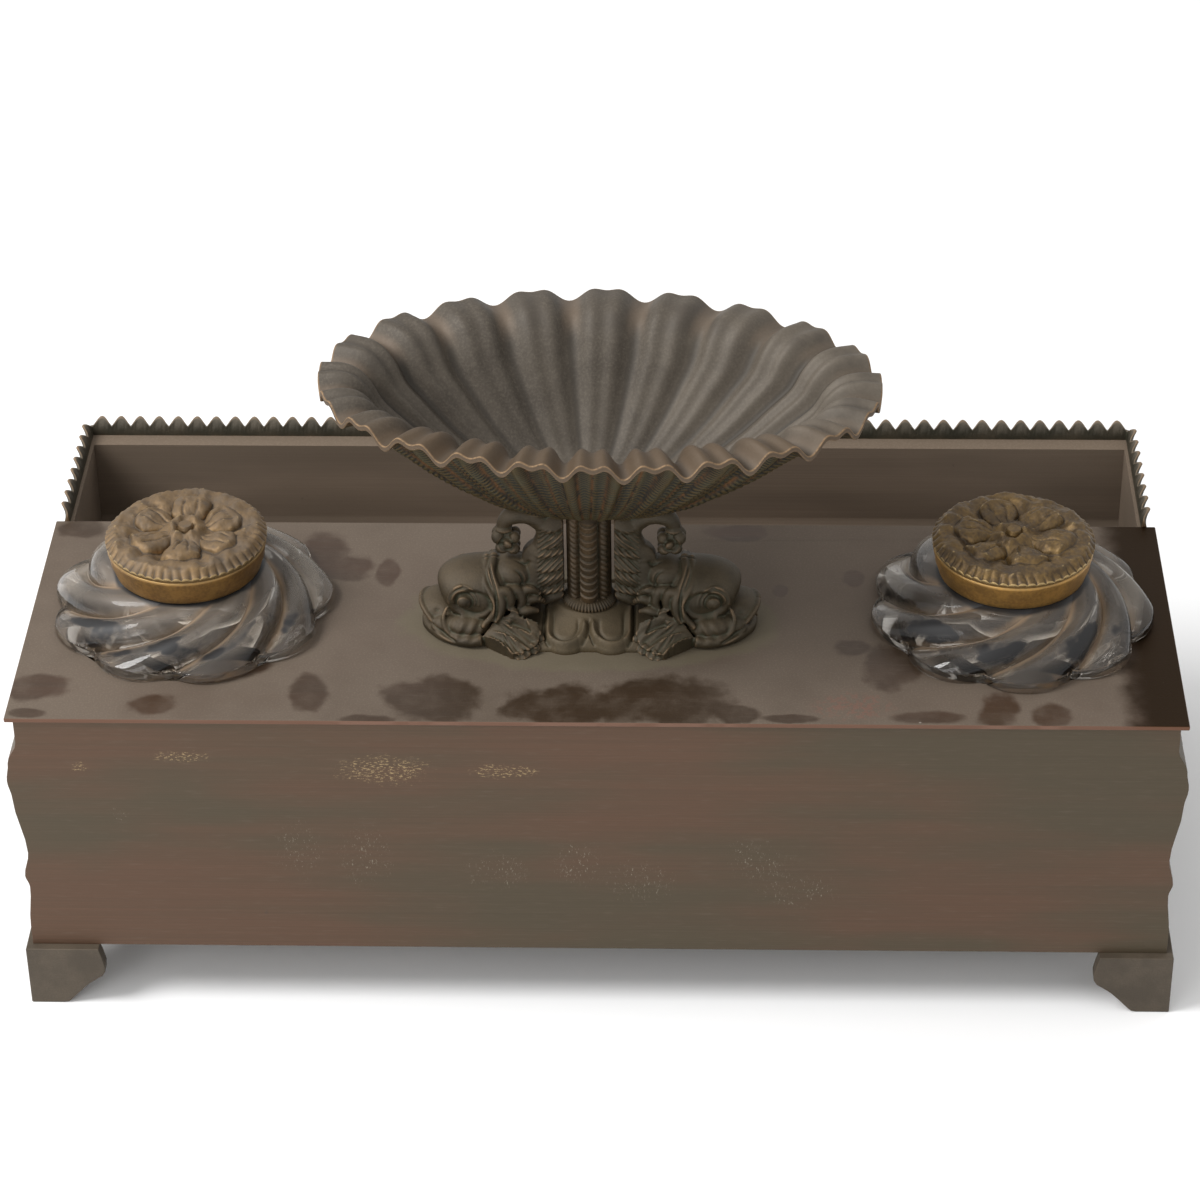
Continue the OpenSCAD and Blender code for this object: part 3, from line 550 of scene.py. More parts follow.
# %% Dress the sheet pieces and fixings
dress("top_plate", plate_finish, 0.35)
dress("rear_panel", panel_finish, 0.3)
dress("pen_trough", trough_finish, 0.3)
for corner in ("rear_left", "rear_right", "front_left", "front_right"):
    dress("foot_" + corner, foot_finish, 0.5)
for node in ("corner_brackets", "plate_brackets"):
    dress(node, trough_finish, 0.25)
for node in ("foot_screws", "foot_nuts", "plate_studs", "plate_nuts", "dolphin_screws", "tie_washer", "tie_nut"):
    dress(node, iron_finish, 0.2)
dress("tie_rod", stand_finish, 0.3)

# %% [markdown]
# ## The cast mouldings
#
# Three sides of the case are cast: a plinth, a row of beads, a waist of upright leaves, a bold
# roll with slanting leaves and a hollow under the plate. The profile is one curve. It is repeated
# along the length, and the ornament is cut into it as a depth that depends on where a point lies.

# %% Moulding profile
EDGE_X = plate_high.x
EDGE_Y = -plate_low.y
side_low, side_high = box_mm("right_moulding")
ROLL_OUT = side_high.x - EDGE_X
WALL = EDGE_X - side_low.x
FOOT_TOP = side_low.z


def ramp(value, start, end):
    share = np.clip((np.asarray(value, float) - start) / (end - start), 0, 1)
    return share * share * (3 - 2 * share)


def mould_offset(z):
    """How far the moulding stands out from the edge line at a height."""
    heights = np.array([FOOT_TOP, FOOT_TOP + 7, PLATE - 59, PLATE - 55, PLATE - 47, PLATE - 28, PLATE - 22,
                        PLATE - 16, PLATE - 9, plate_low.z])
    offsets = np.array([-0.3, -0.3, -1.4, -0.4, -2, ROLL_OUT - 0.9, ROLL_OUT, ROLL_OUT - 0.8, -2.2, -2.2])
    i = np.clip(np.searchsorted(heights, z, side="right") - 1, 0, len(heights) - 2)
    share = (z - heights[i]) / (heights[i + 1] - heights[i])
    return offsets[i] + (offsets[i + 1] - offsets[i]) * (1 - np.cos(math.pi * share)) / 2


def window(z, low, high, soft):
    return ramp(z, low, low + soft) * (1 - ramp(z, high - soft, high))


def ornament(u, z):
    """Depth of the ornament, cut inwards, at a distance along the moulding and a height."""
    roll = (z - (PLATE - 22)) / 7
    blade = np.abs(np.sin(math.pi * (u / 9 + 0.28 * roll)))
    vein = np.exp(-((blade - 1) / 0.05) ** 2)
    cut = window(z, PLATE - 30, PLATE - 14, 1.5) * (0.95 * (1 - blade ** 0.5) + 0.3 * vein)
    rise = np.clip((z - (PLATE - 49)) / 18, 0, 1)
    leaf = np.abs(np.cos(math.pi * u / 9))
    tongue = np.clip((leaf - rise ** 2.5) / (1.02 - rise ** 2.5), 0, 1)
    cut += window(z, PLATE - 50, PLATE - 31, 1.0) * (0.9 * (1 - tongue ** 0.5) + 0.35 * np.exp(-((leaf - 1) / 0.03) ** 2))
    bead = (u % 4 - 2) / 2
    cut += window(z, PLATE - 58, PLATE - 51.5, 1.2) * 0.75 * (1 - np.sqrt(np.clip(1 - bead ** 2, 0, 1)))
    groove = np.exp(-((z - (FOOT_TOP + 5.5)) / 0.5) ** 2) + np.exp(-((z - (PLATE - 10.5)) / 0.5) ** 2)
    return cut + 0.4 * groove


# %% Build the three mouldings
def moulding_rows(across_start, across_end, mitre_start, mitre_end, step=0.9):
    """Closed sections along a moulding: (along, outwards, z), with mitres where asked."""
    z = np.concatenate([np.linspace(FOOT_TOP, plate_low.z, 74)])
    out = mould_offset(z)
    rows = []
    for share in np.linspace(0, 1, int((across_end - across_start) / step)):
        start = across_start - mitre_start * out
        end = across_end + mitre_end * out
        along = start + (end - start) * share
        face = np.stack([along, out - ornament(along, z), z], axis=1)
        back_along = [across_start + mitre_start * WALL, across_end - mitre_end * WALL]
        a = back_along[0] + (back_along[1] - back_along[0]) * share
        rows.append(np.concatenate([face, [[a, -WALL, plate_low.z], [a, -WALL, FOOT_TOP]]]))
    return np.array(rows)


def add_moulding(node, rows, to_frame):
    points, faces = skin_data(to_frame(rows), capped=False)
    width = rows.shape[1]
    faces.append(tuple(range(width)))
    faces.append(tuple(range((len(rows) - 1) * width, len(rows) * width))[::-1])
    piece = new_piece(node.replace("_", " ").replace(" ", "_") + "_cast", points, faces)
    fix_normals(piece)
    mark_relief(piece, strength=5)
    sharpen(piece, 50)
    return place(piece, case_finish, node)


front_rows = moulding_rows(-EDGE_X, EDGE_X, 1, 1)
add_moulding("front_moulding", front_rows,
             lambda r: np.stack([r[..., 0], EDGE_Y + r[..., 1], r[..., 2]], axis=-1))
side_rows = moulding_rows(side_low.y, EDGE_Y, 0, 1)
for node, side in (("left_moulding", -1), ("right_moulding", 1)):
    add_moulding(node, side_rows,
                 lambda r, side=side: np.stack([side * (EDGE_X + r[..., 1]), r[..., 0], r[..., 2]], axis=-1))

# %% [markdown]
# ## The crimped leaf rim
#
# A thin rim of little leaves stands on the mouldings round three sides of the trough. The rim's
# section is swept along its path, and at each step the leaf's shape sets height, lean and rib.

# %% Leaf rim
rim_low, rim_high = box_mm("leaf_rim")
RIM_FOOT, RIM_T, RIM_LEAN, RIM_RISE = plate_low.z, 1.5, 1.5, 2.0
RIM_H = rim_high.z - PLATE - RIM_RISE
RIM_IN_X, RIM_IN_Y = rim_high.x - RIM_T - RIM_LEAN, rim_high.y - RIM_T - RIM_LEAN
SIDE_LEAVES, BACK_LEAVES, STEPS = 8, 54, 20


def rim_section(place_xy, out_xy, share):
    wave = (1 - math.cos(2 * math.pi * share)) / 2
    tip = PLATE + RIM_RISE + RIM_H * wave ** 0.55
    flare = RIM_LEAN * (0.3 + 0.7 * wave) + 0.9 * (wave - 0.5)
    rib = 0.3 * math.exp(-((share - 0.5) / 0.07) ** 2)
    veins = 0.12 * math.cos(2 * math.pi * 5 * share)
    section = []
    for v in np.linspace(0, 1, 9):
        z = RIM_FOOT + (tip - RIM_FOOT) * v
        up = max(0.0, (z - PLATE) / (tip - PLATE))
        section.append((flare * up ** 1.6 + 0.35 * up * (1 - wave) - (rib + veins) * up * (1 - up) * 2.2, z))
    edge = section[-1]
    section.append((edge[0] + 0.35, edge[1] + 0.0))
    for v in np.linspace(0.94, 0, 8):
        z = RIM_FOOT + (tip - RIM_FOOT) * v
        up = max(0.0, (z - PLATE) / (tip - PLATE))
        section.append((flare * up ** 1.6 + RIM_T * (1 - 0.45 * up), z))
    x, y = place_xy
    return [(x + out_xy[0] * d, y + out_xy[1] * d, z) for d, z in section]


def rim_rows():
    back_y = plate_high.y
    rows = []
    for i in range(SIDE_LEAVES * STEPS):
        y = back_y + (RIM_IN_Y - back_y) * i / (SIDE_LEAVES * STEPS)
        rows.append(rim_section((-RIM_IN_X, y), (-1, 0), i % STEPS / STEPS))
    for i in range(BACK_LEAVES * STEPS + 1):
        x = -RIM_IN_X + 2 * RIM_IN_X * i / (BACK_LEAVES * STEPS)
        out = (-1, 1) if i == 0 else (1, 1) if i == BACK_LEAVES * STEPS else (0, 1)
        rows.append(rim_section((x, RIM_IN_Y), out, i % STEPS / STEPS))
    for i in range(SIDE_LEAVES * STEPS - 1, -1, -1):
        y = back_y + (RIM_IN_Y - back_y) * i / (SIDE_LEAVES * STEPS)
        rows.append(rim_section((RIM_IN_X, y), (1, 0), i % STEPS / STEPS))
    return rows


rim = skin("leaf_rim_cast", rim_rows())
fix_normals(rim)
mark_relief(rim, strength=4)
rim_finish = cast_bronze("rim bronze", (0.03, 0.027, 0.016), (0.062, 0.05, 0.032), dust=0.75, green=0.7, wear=0.6,
                         film=(0.2, 0.165, 0.125))
place(rim, rim_finish, "leaf_rim")

# %% [markdown]
# ## Glass inkwells
#
# Each well is one thick piece of moulded glass: a body hanging in the case, and a collar of nine
# turned petals that lies on the plate. Outside and cavity are one closed skin, so that light
# bends on its way in and out, as it does in the real thing.

# %% Inkwell shape
PETALS, TWIST, PHASE = 9, 72, 6.5
COLLAR_R, NOTCH, NECK_R, NECK_H, EDGE_H, BODY_R, GLASS_WALL, MOUTH_R = 40, 4.5, 19, 14.5, 4.5, 31, 4, 15


def petal_swell(angle):
    """1 on the crown of a petal, 0 in the crease between two: a full round arch."""
    return np.abs(np.cos(PETALS * angle / 2)) ** 0.75


def inkwell_rows(side, per_petal=44):
    count = PETALS * per_petal
    angle = np.linspace(0, 2 * math.pi, count, endpoint=False)
    swell = petal_swell(angle)
    depth = PLATE - box_mm("inkwell_left")[0].z
    rows = []

    def ring(radius, z, turn=0.0):
        a = angle + math.radians(turn - side * PHASE)
        rows.append(np.stack([radius * np.cos(a), radius * np.sin(a), z + 0 * a], axis=1))

    for radius, z in ((BODY_R - 3, -depth), (BODY_R - 1, -depth + 0.6), (BODY_R, -depth + 2.5), (BODY_R, -20),
                      (BODY_R, -2), (BODY_R, -0.3), (BODY_R + 0.3, 0)):
        ring(np.full(count, float(radius)), z, TWIST)
    # the collar's rim: flat below, a rounded band, then a step in to the petals
    edge = [(0.86, 0.0), (0.965, 0.0), (0.99, 0.25), (1.0, 0.8), (1.0, 1.6), (0.995, 2.3), (0.985, 2.9), (0.982, 3.2)]
    inwards = [(share, None) for share in 0.98 * (1 - np.linspace(0, 1, 46) ** 1.15)]
    for share, height in edge + inwards:
        full = NECK_R + (COLLAR_R - NECK_R) * share
        grip = ramp(share, 0.0, 0.45)
        radius = full - NOTCH * share ** 2 * grip * (1 - swell)
        if height is None:
            climb = EDGE_H - 1.2 + (NECK_H - EDGE_H + 1.2) * (1 - share / 0.98) ** 0.9
            height = climb + 1.5 * np.sin(math.pi * share) * swell - 2.0 * grip * (1 - swell)
        ring(radius, height, TWIST * (1 - share) ** 1.15)
    for radius, z in ((NECK_R - 0.4, NECK_H), (MOUTH_R + 0.5, NECK_H), (MOUTH_R, NECK_H - 0.5), (MOUTH_R, 2.5),
                      (MOUTH_R + 0.6, 0.6), (BODY_R - GLASS_WALL - 0.8, -7.6), (BODY_R - GLASS_WALL, -9.5),
                      (BODY_R - GLASS_WALL, -depth + GLASS_WALL + 2.5),
                      (BODY_R - GLASS_WALL - 2, -depth + GLASS_WALL)):
        ring(np.full(count, float(radius)), z)
    return np.array(rows)


# %% Old glass
def old_glass(name, soil, seed):
    """Clear glass under old dirt: tan in creases and ink at the front; painted shade on one flank of each petal,
    painted light on the other and on the side lobes.
    """
    glass = Finish(name, Transmission_Weight=1.0, IOR=1.46, Roughness=0.03)
    smear = glass.cloud(9, detail=3, seed=seed)
    glass.finish(Base_Color=glass.mix(glass.step(smear, 0.3, 0.8), (0.97, 0.93, 0.87), (0.9, 0.83, 0.74)))
    film = glass.tree.nodes.new("ShaderNodeBsdfPrincipled")
    grime = glass.cloud(5, detail=4, rough=0.5, seed=seed + 1)
    fine = glass.cloud(0.8, detail=3, seed=seed + 2)
    crease, near_neck, front = glass.relief("crease"), glass.relief("near_neck"), glass.relief("ink_zone")
    flank, side_lobe_painted_light = glass.relief("flank"), glass.relief("side_lobe_painted_light")
    ragged = (grime - 0.5) * 0.9
    # Painted shade on one flank of each petal and painted light on the other.
    painted_shade_flank = glass.step(flank + ragged, 0.15, 0.75)
    painted_light_flank = glass.step(flank + ragged, -0.1, -0.7)
    spots = glass.cloud(11, detail=3, rough=0.6, seed=seed + 3)
    ink = glass.step(front * (painted_shade_flank * 0.3 + 0.8) + (grime - 0.5) * 0.7 + (spots - 0.5) * 2.2, 0.5, 0.95)
    under_ring = glass.step(near_neck + (grime - 0.5) * 0.1, 0.86, 0.97)
    crease_dust = glass.step(crease + ragged * 0.5, 0.3, 0.85)
    # The film's colour: grime, dust and ink, with painted shade and painted light mixed in.
    dirt_and_painted_light_tone = glass.mix(grime, tuple(c / soil for c in (0.115, 0.095, 0.078)), tuple(c / soil for c in (0.16, 0.132, 0.105)))
    dirt_and_painted_light_tone = glass.mix(painted_shade_flank * 0.45, dirt_and_painted_light_tone, (0.05, 0.043, 0.036))
    dirt_and_painted_light_tone = glass.mix(painted_light_flank * 0.4, dirt_and_painted_light_tone, (0.19, 0.16, 0.13))
    dirt_and_painted_light_tone = glass.mix(crease_dust * 0.8, dirt_and_painted_light_tone, (0.24, 0.165, 0.1))
    # Painted light: a pale film on the side and back lobes.
    dirt_and_painted_light_tone = glass.mix(side_lobe_painted_light * 0.8, dirt_and_painted_light_tone, (0.44, 0.38, 0.31))
    dirt_and_painted_light_tone = glass.mix(ink, dirt_and_painted_light_tone, (0.009, 0.0085, 0.009))
    dirt_and_painted_light_tone = glass.mix(under_ring, dirt_and_painted_light_tone, (0.012, 0.012, 0.013))
    glass.feed(film.inputs["Base Color"], dirt_and_painted_light_tone)
    glass.feed(film.inputs["Roughness"], 0.55)
    up = glass.step(glass.facing_up(), 0.2, 0.85)
    inner = glass.step(near_neck, 0.05, 0.6)
    rim_clear = glass.relief("rim_clear")
    share = up * (inner * 0.25 + painted_shade_flank * 0.1 + fine * 0.12 + 0.42) + crease_dust * 0.35 + ink * 0.75 + under_ring * 0.5
    share = glass.math("MULTIPLY", share, (1 - side_lobe_painted_light * 0.25) * (1 - rim_clear * 0.6), True)
    blend = glass.node("MixShader")
    glass.feed(blend.socket.node.inputs[0], share)
    glass.tree.links.new(glass.shader.outputs[0], blend.socket.node.inputs[1])
    glass.tree.links.new(film.outputs[0], blend.socket.node.inputs[2])
    out = next(n for n in glass.tree.nodes if n.type == "OUTPUT_MATERIAL")
    glass.tree.links.new(blend.socket, out.inputs[0])
    return glass.material


glass_finishes = {"left": old_glass("old glass left", 0.85, 50), "right": old_glass("old glass right", 1.6, 70)}
print("glass made")


# %% Place the two inkwells
def add_field(piece, name, values):
    field = piece.data.attributes.new(name, "FLOAT", "POINT")
    field.data.foreach_set("value", np.asarray(values, float).ravel())


for side, name in ((-1, "left"), (1, "right")):
    node = "inkwell_" + name
    centre = middle(node)
    rows = inkwell_rows(side) + (centre.x, centre.y, PLATE)
    points, faces = skin_data(rows, capped=False)
    width = rows.shape[1]
    faces.append(tuple(range(width)))
    faces.append(tuple(range((len(rows) - 1) * width, len(rows) * width))[::-1])
    well = new_piece(node + "_glass", points, faces)
    fix_normals(well)
    flat = rows.reshape(-1, 3)
    away = flat[:, :2] - (centre.x, centre.y)
    reach = np.hypot(*away.T)
    on_collar = (flat[:, 2] > PLATE + 2.5) & (reach > NECK_R - 0.5)
    round_angle = np.linspace(0, 2 * math.pi, width, endpoint=False)
    crown = np.tile(petal_swell(round_angle), len(rows))
    flank = np.tile(np.sin(PETALS * round_angle) * side, len(rows))
    add_field(well, "near_neck", np.where(on_collar, ramp(reach, 30, NECK_R + 0.5), 0))
    add_field(well, "crease", np.where(on_collar, 1 - crown, 0))
    add_field(well, "flank", np.where(on_collar, flank, 0))
    # The side and back lobes of the collar, which the glass finish paints light.
    add_field(well, "side_lobe_painted_light", np.where(on_collar, ramp(reach, 26, 33) * ramp(away[:, 1], -14, 2), 0))
    ink_zone = window(reach, 27, 38, 4) * ramp(-away[:, 1], 6, 20) * (0.35 + 0.65 * crown)
    add_field(well, "ink_zone", np.where(on_collar, ink_zone, 0))
    add_field(well, "rim_clear", np.where(on_collar, ramp(reach, 34.5, 37.5), 0))
    place(well, glass_finishes[name], node)

# %% [markdown]
# ## Gilt lids
#
# A lid is a turned ring with a pressed flower in it. Its high points are bright gold, partly gilding
# rubbed clean and partly painted glints, and dust packs into the flower. The flower is a height above
# a disc: six petals with rolled tips, a toothed leaf between each two, and a bead in the middle.

# %% Gilding
def gilt(name, gold, dull, dust_share, wear, seed=0.0):
    metal = Finish(name)
    relief = metal.relief()
    patchy = metal.cloud(6, detail=5, rough=0.6, seed=seed)
    fine = metal.cloud(0.9, detail=4, seed=seed + 1)
    tone = metal.mix(metal.step(patchy * 0.6 + fine * 0.4, 0.36, 0.62), gold, dull)
    up = metal.step(metal.facing_up(), 0.25, 0.95)
    hollow = metal.step(relief, 0.12, -0.4)
    dust = metal.math("MULTIPLY", up * dust_share * (hollow * 0.45 + 0.55 + metal.step(patchy, 0.3, 0.7) * 0.2), 1, True)
    dust_tone = metal.mix(metal.step(fine, 0.3, 0.75), (0.086, 0.056, 0.031), (0.137, 0.092, 0.053))
    dust_tone = metal.mix(metal.step(patchy, 0.45, 0.62) * 0.6, dust_tone, (0.12, 0.096, 0.073))
    tone = metal.mix(dust, tone, dust_tone)
    tone = metal.mix(metal.step(relief, -0.15, -0.6) * 0.6, tone, (0.045, 0.034, 0.024))
    # Bright gold on the high points: partly gilding rubbed clean, partly painted glints.
    bright = metal.step(relief + (fine - 0.5) * 0.5, 0.35, 0.75) * wear
    tone = metal.mix(bright, tone, (0.5, 0.36, 0.17))
    return metal.finish(Base_Color=tone, Metallic=(1 - dust) * 0.75 + bright * 0.2, Roughness=0.42 + dust * 0.45,
                        Normal=metal.bump(fine, 0.12, 0.5))


ring_finishes = {"left": gilt("gilt ring left", (0.33, 0.185, 0.057), (0.2, 0.112, 0.04), 0.2, 0.3),
                 "right": gilt("gilt ring right", (0.46, 0.255, 0.068), (0.28, 0.155, 0.048), 0.2, 0.3)}
left_flower_finish = gilt("dusty flower", (0.26, 0.165, 0.075), (0.15, 0.1, 0.055), 0.85, 0.5, seed=4)
right_flower_finish = gilt("worn flower", (0.2, 0.125, 0.045), (0.075, 0.048, 0.024), 0.3, 0.8, seed=8)
print("gilt finishes made")


# %% The ring, turned on a lathe
def lathe(name, profile, centre, count=160):
    angle = np.linspace(0, 2 * math.pi, count, endpoint=False)
    rows = [np.stack([centre.x + r * np.cos(angle), centre.y + r * np.sin(angle), centre.z + z + 0 * angle], axis=1)
            for r, z in profile]
    return new_piece(name, *skin_data(rows))


def lid_ring(name):
    low, high = box_mm("lid_ring_" + name)
    centre = Vector(((low.x + high.x) / 2, (low.y + high.y) / 2, low.z))
    top_r, tall = (high.x - low.x) / 2, high.z - low.z
    foot_r = top_r - 1.7
    profile = [(0.6, 0), (foot_r - 0.3, 0), (foot_r, 0.3), (foot_r + 0.15, 1.2), (foot_r + 1.0, tall * 0.42),
               (top_r - 0.35, tall * 0.72), (top_r - 0.05, tall * 0.86), (top_r, tall * 0.94), (top_r - 0.2, tall),
               (top_r - 0.8, tall), (top_r - 1.3, tall - 0.3), (foot_r - 1.3, 2.2), (foot_r - 2, 1.5), (0.6, 1.5)]
    ring = lathe(f"lid_ring_{name}_turned", profile, centre, 200)
    fix_normals(ring)
    mark_relief(ring)
    return place(ring, ring_finishes[name], "lid_ring_" + name)


# %% The pressed flower
LEAF_TOP, TOOTH_DROP = 4.4, 2.0


def flower_height(x, y):
    """Height of the flower over the ring's top, in mm, at a place measured from its middle."""
    r = np.hypot(x, y)
    around = np.arctan2(y, x)
    # leaves: smooth hollows between the petals that rise to a toothed edge, with a low midrib
    turn_leaf = (around / (math.pi / 3) + 0.5) % 1 - 0.5
    leaf_side = r * np.sin((np.abs(turn_leaf) - 0.5) * math.pi / 3)
    height = 3.7 - 1.9 * window(r, 4, 17.5, 5) - TOOTH_DROP * ramp(r, 20.2, 22.7)
    height += 0.35 * np.exp(-(leaf_side / 0.9) ** 2) * window(r, 7, 20, 4)
    teeth = np.abs(((around * 54 / (2 * math.pi)) % 1) - 0.5) * 2
    height -= 0.8 * teeth ** 2.5 * ramp(r, 19.6, 21.8)
    height += 0.35 * np.cos(around * 18 + 0.8 * np.sin(around * 5)) * ramp(r, 10, 16) * (1 - ramp(r, 19, 21.5))
    # petals: a narrow throat and a broad smooth blade that droops to a round tip
    turn = (around / (math.pi / 3)) % 1 - 0.5
    along, side = r * np.cos(turn * math.pi / 3), r * np.sin(turn * math.pi / 3)
    half = 1.5 + 4.1 * ramp(along, 3.5, 10.5) - 5.3 * ramp(along, 13.6, 18.4)
    cross = np.sqrt(np.clip(1 - (side / np.maximum(half, 0.3)) ** 2, 0, 1)) ** 0.8
    blade = 2.2 * ramp(along, 3, 6) + 1.9 * ramp(along, 6, 12) - 2.6 * ramp(along, 13.4, 18)
    roll = 0.7 * np.exp(-((along - 15.2 + 0.06 * side ** 2) / 1.3) ** 2)
    groove = 0.5 * np.exp(-((np.abs(side) - 0.32 * half) / 0.45) ** 2) * window(along, 4, 15, 3)
    petal = cross * np.clip(blade + roll, 0, None) - groove
    height = np.where((np.abs(side) < half) & (along < 18.4), np.maximum(height, 1.5 + petal * 0.85), height)
    # the heart: a ring of small sepals round a dish for the pin's head
    sepal = 0.5 + 0.5 * np.cos(around * 6)
    height += (0.6 * sepal + 0.7) * np.exp(-((r - 3.8) / 1.3) ** 2) - 0.6 * np.exp(-(r / 2.6) ** 4)
    return height


def flower(name, finish, turn, seed):
    low, high = box_mm("lid_rosette_" + name)
    ring_high = box_mm("lid_ring_" + name)[1]
    centre = Vector(((low.x + high.x) / 2, (low.y + high.y) / 2, 0))
    reach, seat, top = (high.x - low.x) / 2, ring_high.z - 0.6, ring_high.z
    angle = np.linspace(0, 2 * math.pi, 420, endpoint=False)
    rows = []
    for r, z in ((0.5, seat), (reach - 2.6, seat), (reach - 2.3, top), (reach - 0.4, top)):
        rows.append([(r * math.cos(a), r * math.sin(a), z) for a in angle])
    for r in np.concatenate([[reach], np.linspace(reach - 0.05, 0.25, 104)]):
        x, y = r * np.cos(angle), r * np.sin(angle)
        spots = [Vector((px, py, seed)) for px, py in zip(x, y)]
        loose = ramp(r, 22.5, 19)
        bend = np.array([tuple(noise.noise_vector(spot * 0.16) * 1.5 * loose) for spot in spots])
        rough = [noise.noise(spot * 0.25) * 0.9 + noise.noise(spot * 0.7) * 0.22 + noise.noise(spot * 1.8) * 0.06
                 for spot in spots]
        height = flower_height(x + bend[:, 0], y + bend[:, 1]) + np.array(rough) * (0.35 + 0.65 * loose)
        rows.append(np.stack([x, y, top + np.clip(height, 0.12, high.z - top - 0.05)], axis=1))
    rows = np.array([np.asarray(row) for row in rows])
    cos, sin = math.cos(turn), math.sin(turn)
    turned = np.stack([centre.x + rows[..., 0] * cos - rows[..., 1] * sin,
                       centre.y + rows[..., 0] * sin + rows[..., 1] * cos, rows[..., 2]], axis=-1)
    piece = new_piece(f"lid_flower_{name}", *skin_data(turned))
    fix_normals(piece)
    mark_relief(piece, passes=2, strength=5)
    return place(piece, finish, "lid_rosette_" + name)


for name, finish, turn, seed in (("left", left_flower_finish, 0.0, 1.0), ("right", right_flower_finish, 0.28, 5.0)):
    lid_ring(name)
    flower(name, finish, turn, seed)
    dress("lid_sleeve_" + name, ring_finishes[name], 0.15)
    dress("lid_pin_" + name, finish, 0.4)

# %% [markdown]
# ## The foot of the stand
#
# The foot spreads like a skirt from the fluted ring down to the plate. On each long side two
# tongues lie against each other, with a raised edge round each. It is a height above the plate,
# laid out on a fan of rays that end at the foot's own outline.

# %% Foot of the stand
base_low, base_high = box_mm("stand_base")
PLINTH_X, TONGUE_Y, MOUND = base_high.x - STAND.x, base_high.y - STAND.y, base_high.z - PLATE
PLINTH_Y, PLINTH_T, SKIRT_X, TONGUE_R, FOOT_REACH = 9, 3, 24, 6.3, 34


def inside_box(x, y, half_x, half_y, corner):
    """How deep a place lies inside a box with rounded corners; below 0 outside it."""
    dx, dy = np.abs(x) - half_x + corner, np.abs(y) - half_y + corner
    return corner - (np.hypot(np.maximum(dx, 0), np.maximum(dy, 0)) + np.minimum(np.maximum(dx, dy), 0))


def inside_tongue(x, y):
    across, along = np.abs(x) - TONGUE_R, np.abs(y)
    beyond = np.maximum(along - (TONGUE_Y - TONGUE_R), 0)
    return TONGUE_R - np.hypot(across, beyond)


def foot_outline(x, y):
    """How deep a place lies inside the foot's outline: plinth, skirt or tongue."""
    return np.maximum(np.maximum(inside_box(x, y, PLINTH_X, PLINTH_Y, 1.5), inside_tongue(x, y)),
                      inside_box(x, y, SKIRT_X, TONGUE_Y - 1.4, 7))


def foot_height(x, y):
    skirt = foot_outline(x, y)
    tongue = inside_tongue(x, y)
    reach = np.hypot(x * 0.8, y)
    slope = 1.9 + (MOUND - 1.9) * np.clip(1 - (reach - 7.2) / 15, 0, 1) ** 1.75
    height = slope * np.clip(skirt / 1.8, 0, 1) ** 0.45
    rim = 0.95 * np.exp(-((tongue - 1.25) / 0.75) ** 2) - 0.5 * np.exp(-((tongue - 2.9) / 0.5) ** 2)
    height += rim * (tongue > 0) * ramp(reach, 8.2, 10.5)
    height -= 0.8 * np.exp(-(tongue / 0.4) ** 2) * ramp(reach, 8.2, 10) * ramp(skirt, 0.2, 1.0)
    return np.clip(height, 0.0, MOUND)


count = 560
angle = np.linspace(0, 2 * math.pi, count, endpoint=False)
reach = np.full(count, float(FOOT_REACH))
for i, a in enumerate(angle):
    r = np.linspace(0, FOOT_REACH, 1361)
    inside = foot_outline(r * math.cos(a), r * math.sin(a)) > 0
    reach[i] = r[inside].max()
rows = [np.stack([reach * t * np.cos(angle), reach * t * np.sin(angle), 0 * angle], axis=1) for t in (0.05, 1.0)]
for t in 1 - np.linspace(0, 1, 110) ** 1.1:
    r = np.maximum(reach * t, 0.5)
    x, y = r * np.cos(angle), r * np.sin(angle)
    rows.append(np.stack([x, y, np.maximum(foot_height(x, y), 0.25)], axis=1))
stand_foot = skin("stand_foot_cast", np.array(rows) + np.array(STAND))
fix_normals(stand_foot)
mark_relief(stand_foot, strength=4)
place(stand_foot, stand_foot_finish, "stand_base")

# %% [markdown]
# ## Ring and column
#
# The ring at the column's foot is cut into short flutes. The column is a round core with a broad
# banded strip in front and behind and twisted cords between. Both are turned sections whose
# radius changes with the way they face.

# %% Beaded ring
ring_low, ring_high = box_mm("column_ring")
RING_R, RING_T = (ring_high.x - ring_low.x) / 2, ring_high.z - ring_low.z
angle = np.linspace(0, 2 * math.pi, 480, endpoint=False)
flute = np.abs(np.cos(24 * angle)) ** 0.6
rows = []
for t, r in [(0, 0.4), (0, 0.7), (0, 0.9), (0.05, 0.96), (0.15, 0.99), (0.3, 1), (0.45, 0.985), (0.62, 0.95),
             (0.78, 0.9), (0.9, 0.84), (0.98, 0.78), (1, 0.72), (1, 0.66), (1, 0.4)]:
    fluted = RING_R * r * (1 - 0.07 * (1 - flute) * (r > 0.75))
    rows.append(np.stack([STAND.x + fluted * np.cos(angle), STAND.y + fluted * np.sin(angle),
                          ring_low.z + RING_T * t + 0 * angle], axis=1))
beads = skin("column_ring_cast", rows)
fix_normals(beads)
mark_relief(beads, strength=4)
place(beads, stand_finish, "column_ring")

# %% Column
column_low, column_high = box_mm("column")
TOP_GAP, STRIP_R, CORD_R, CORE_R, OUTER_R = 3.0, 2.6, 1.5, 4.6, 6.0
angle = np.linspace(0, 2 * math.pi, 288, endpoint=False)


def circle_reach(at, centre_r, centre_a, radius):
    """How far a ray reaches a small circle's far side, and the place across it; 0 if it misses."""
    away = (at - centre_a + math.pi) % (2 * math.pi) - math.pi
    across = centre_r * np.sin(away)
    hit = (np.abs(across) < radius) & (np.abs(away) < 1.5)
    return np.where(hit, centre_r * np.cos(away) + np.sqrt(np.clip(radius ** 2 - across ** 2, 0, None)), 0), across


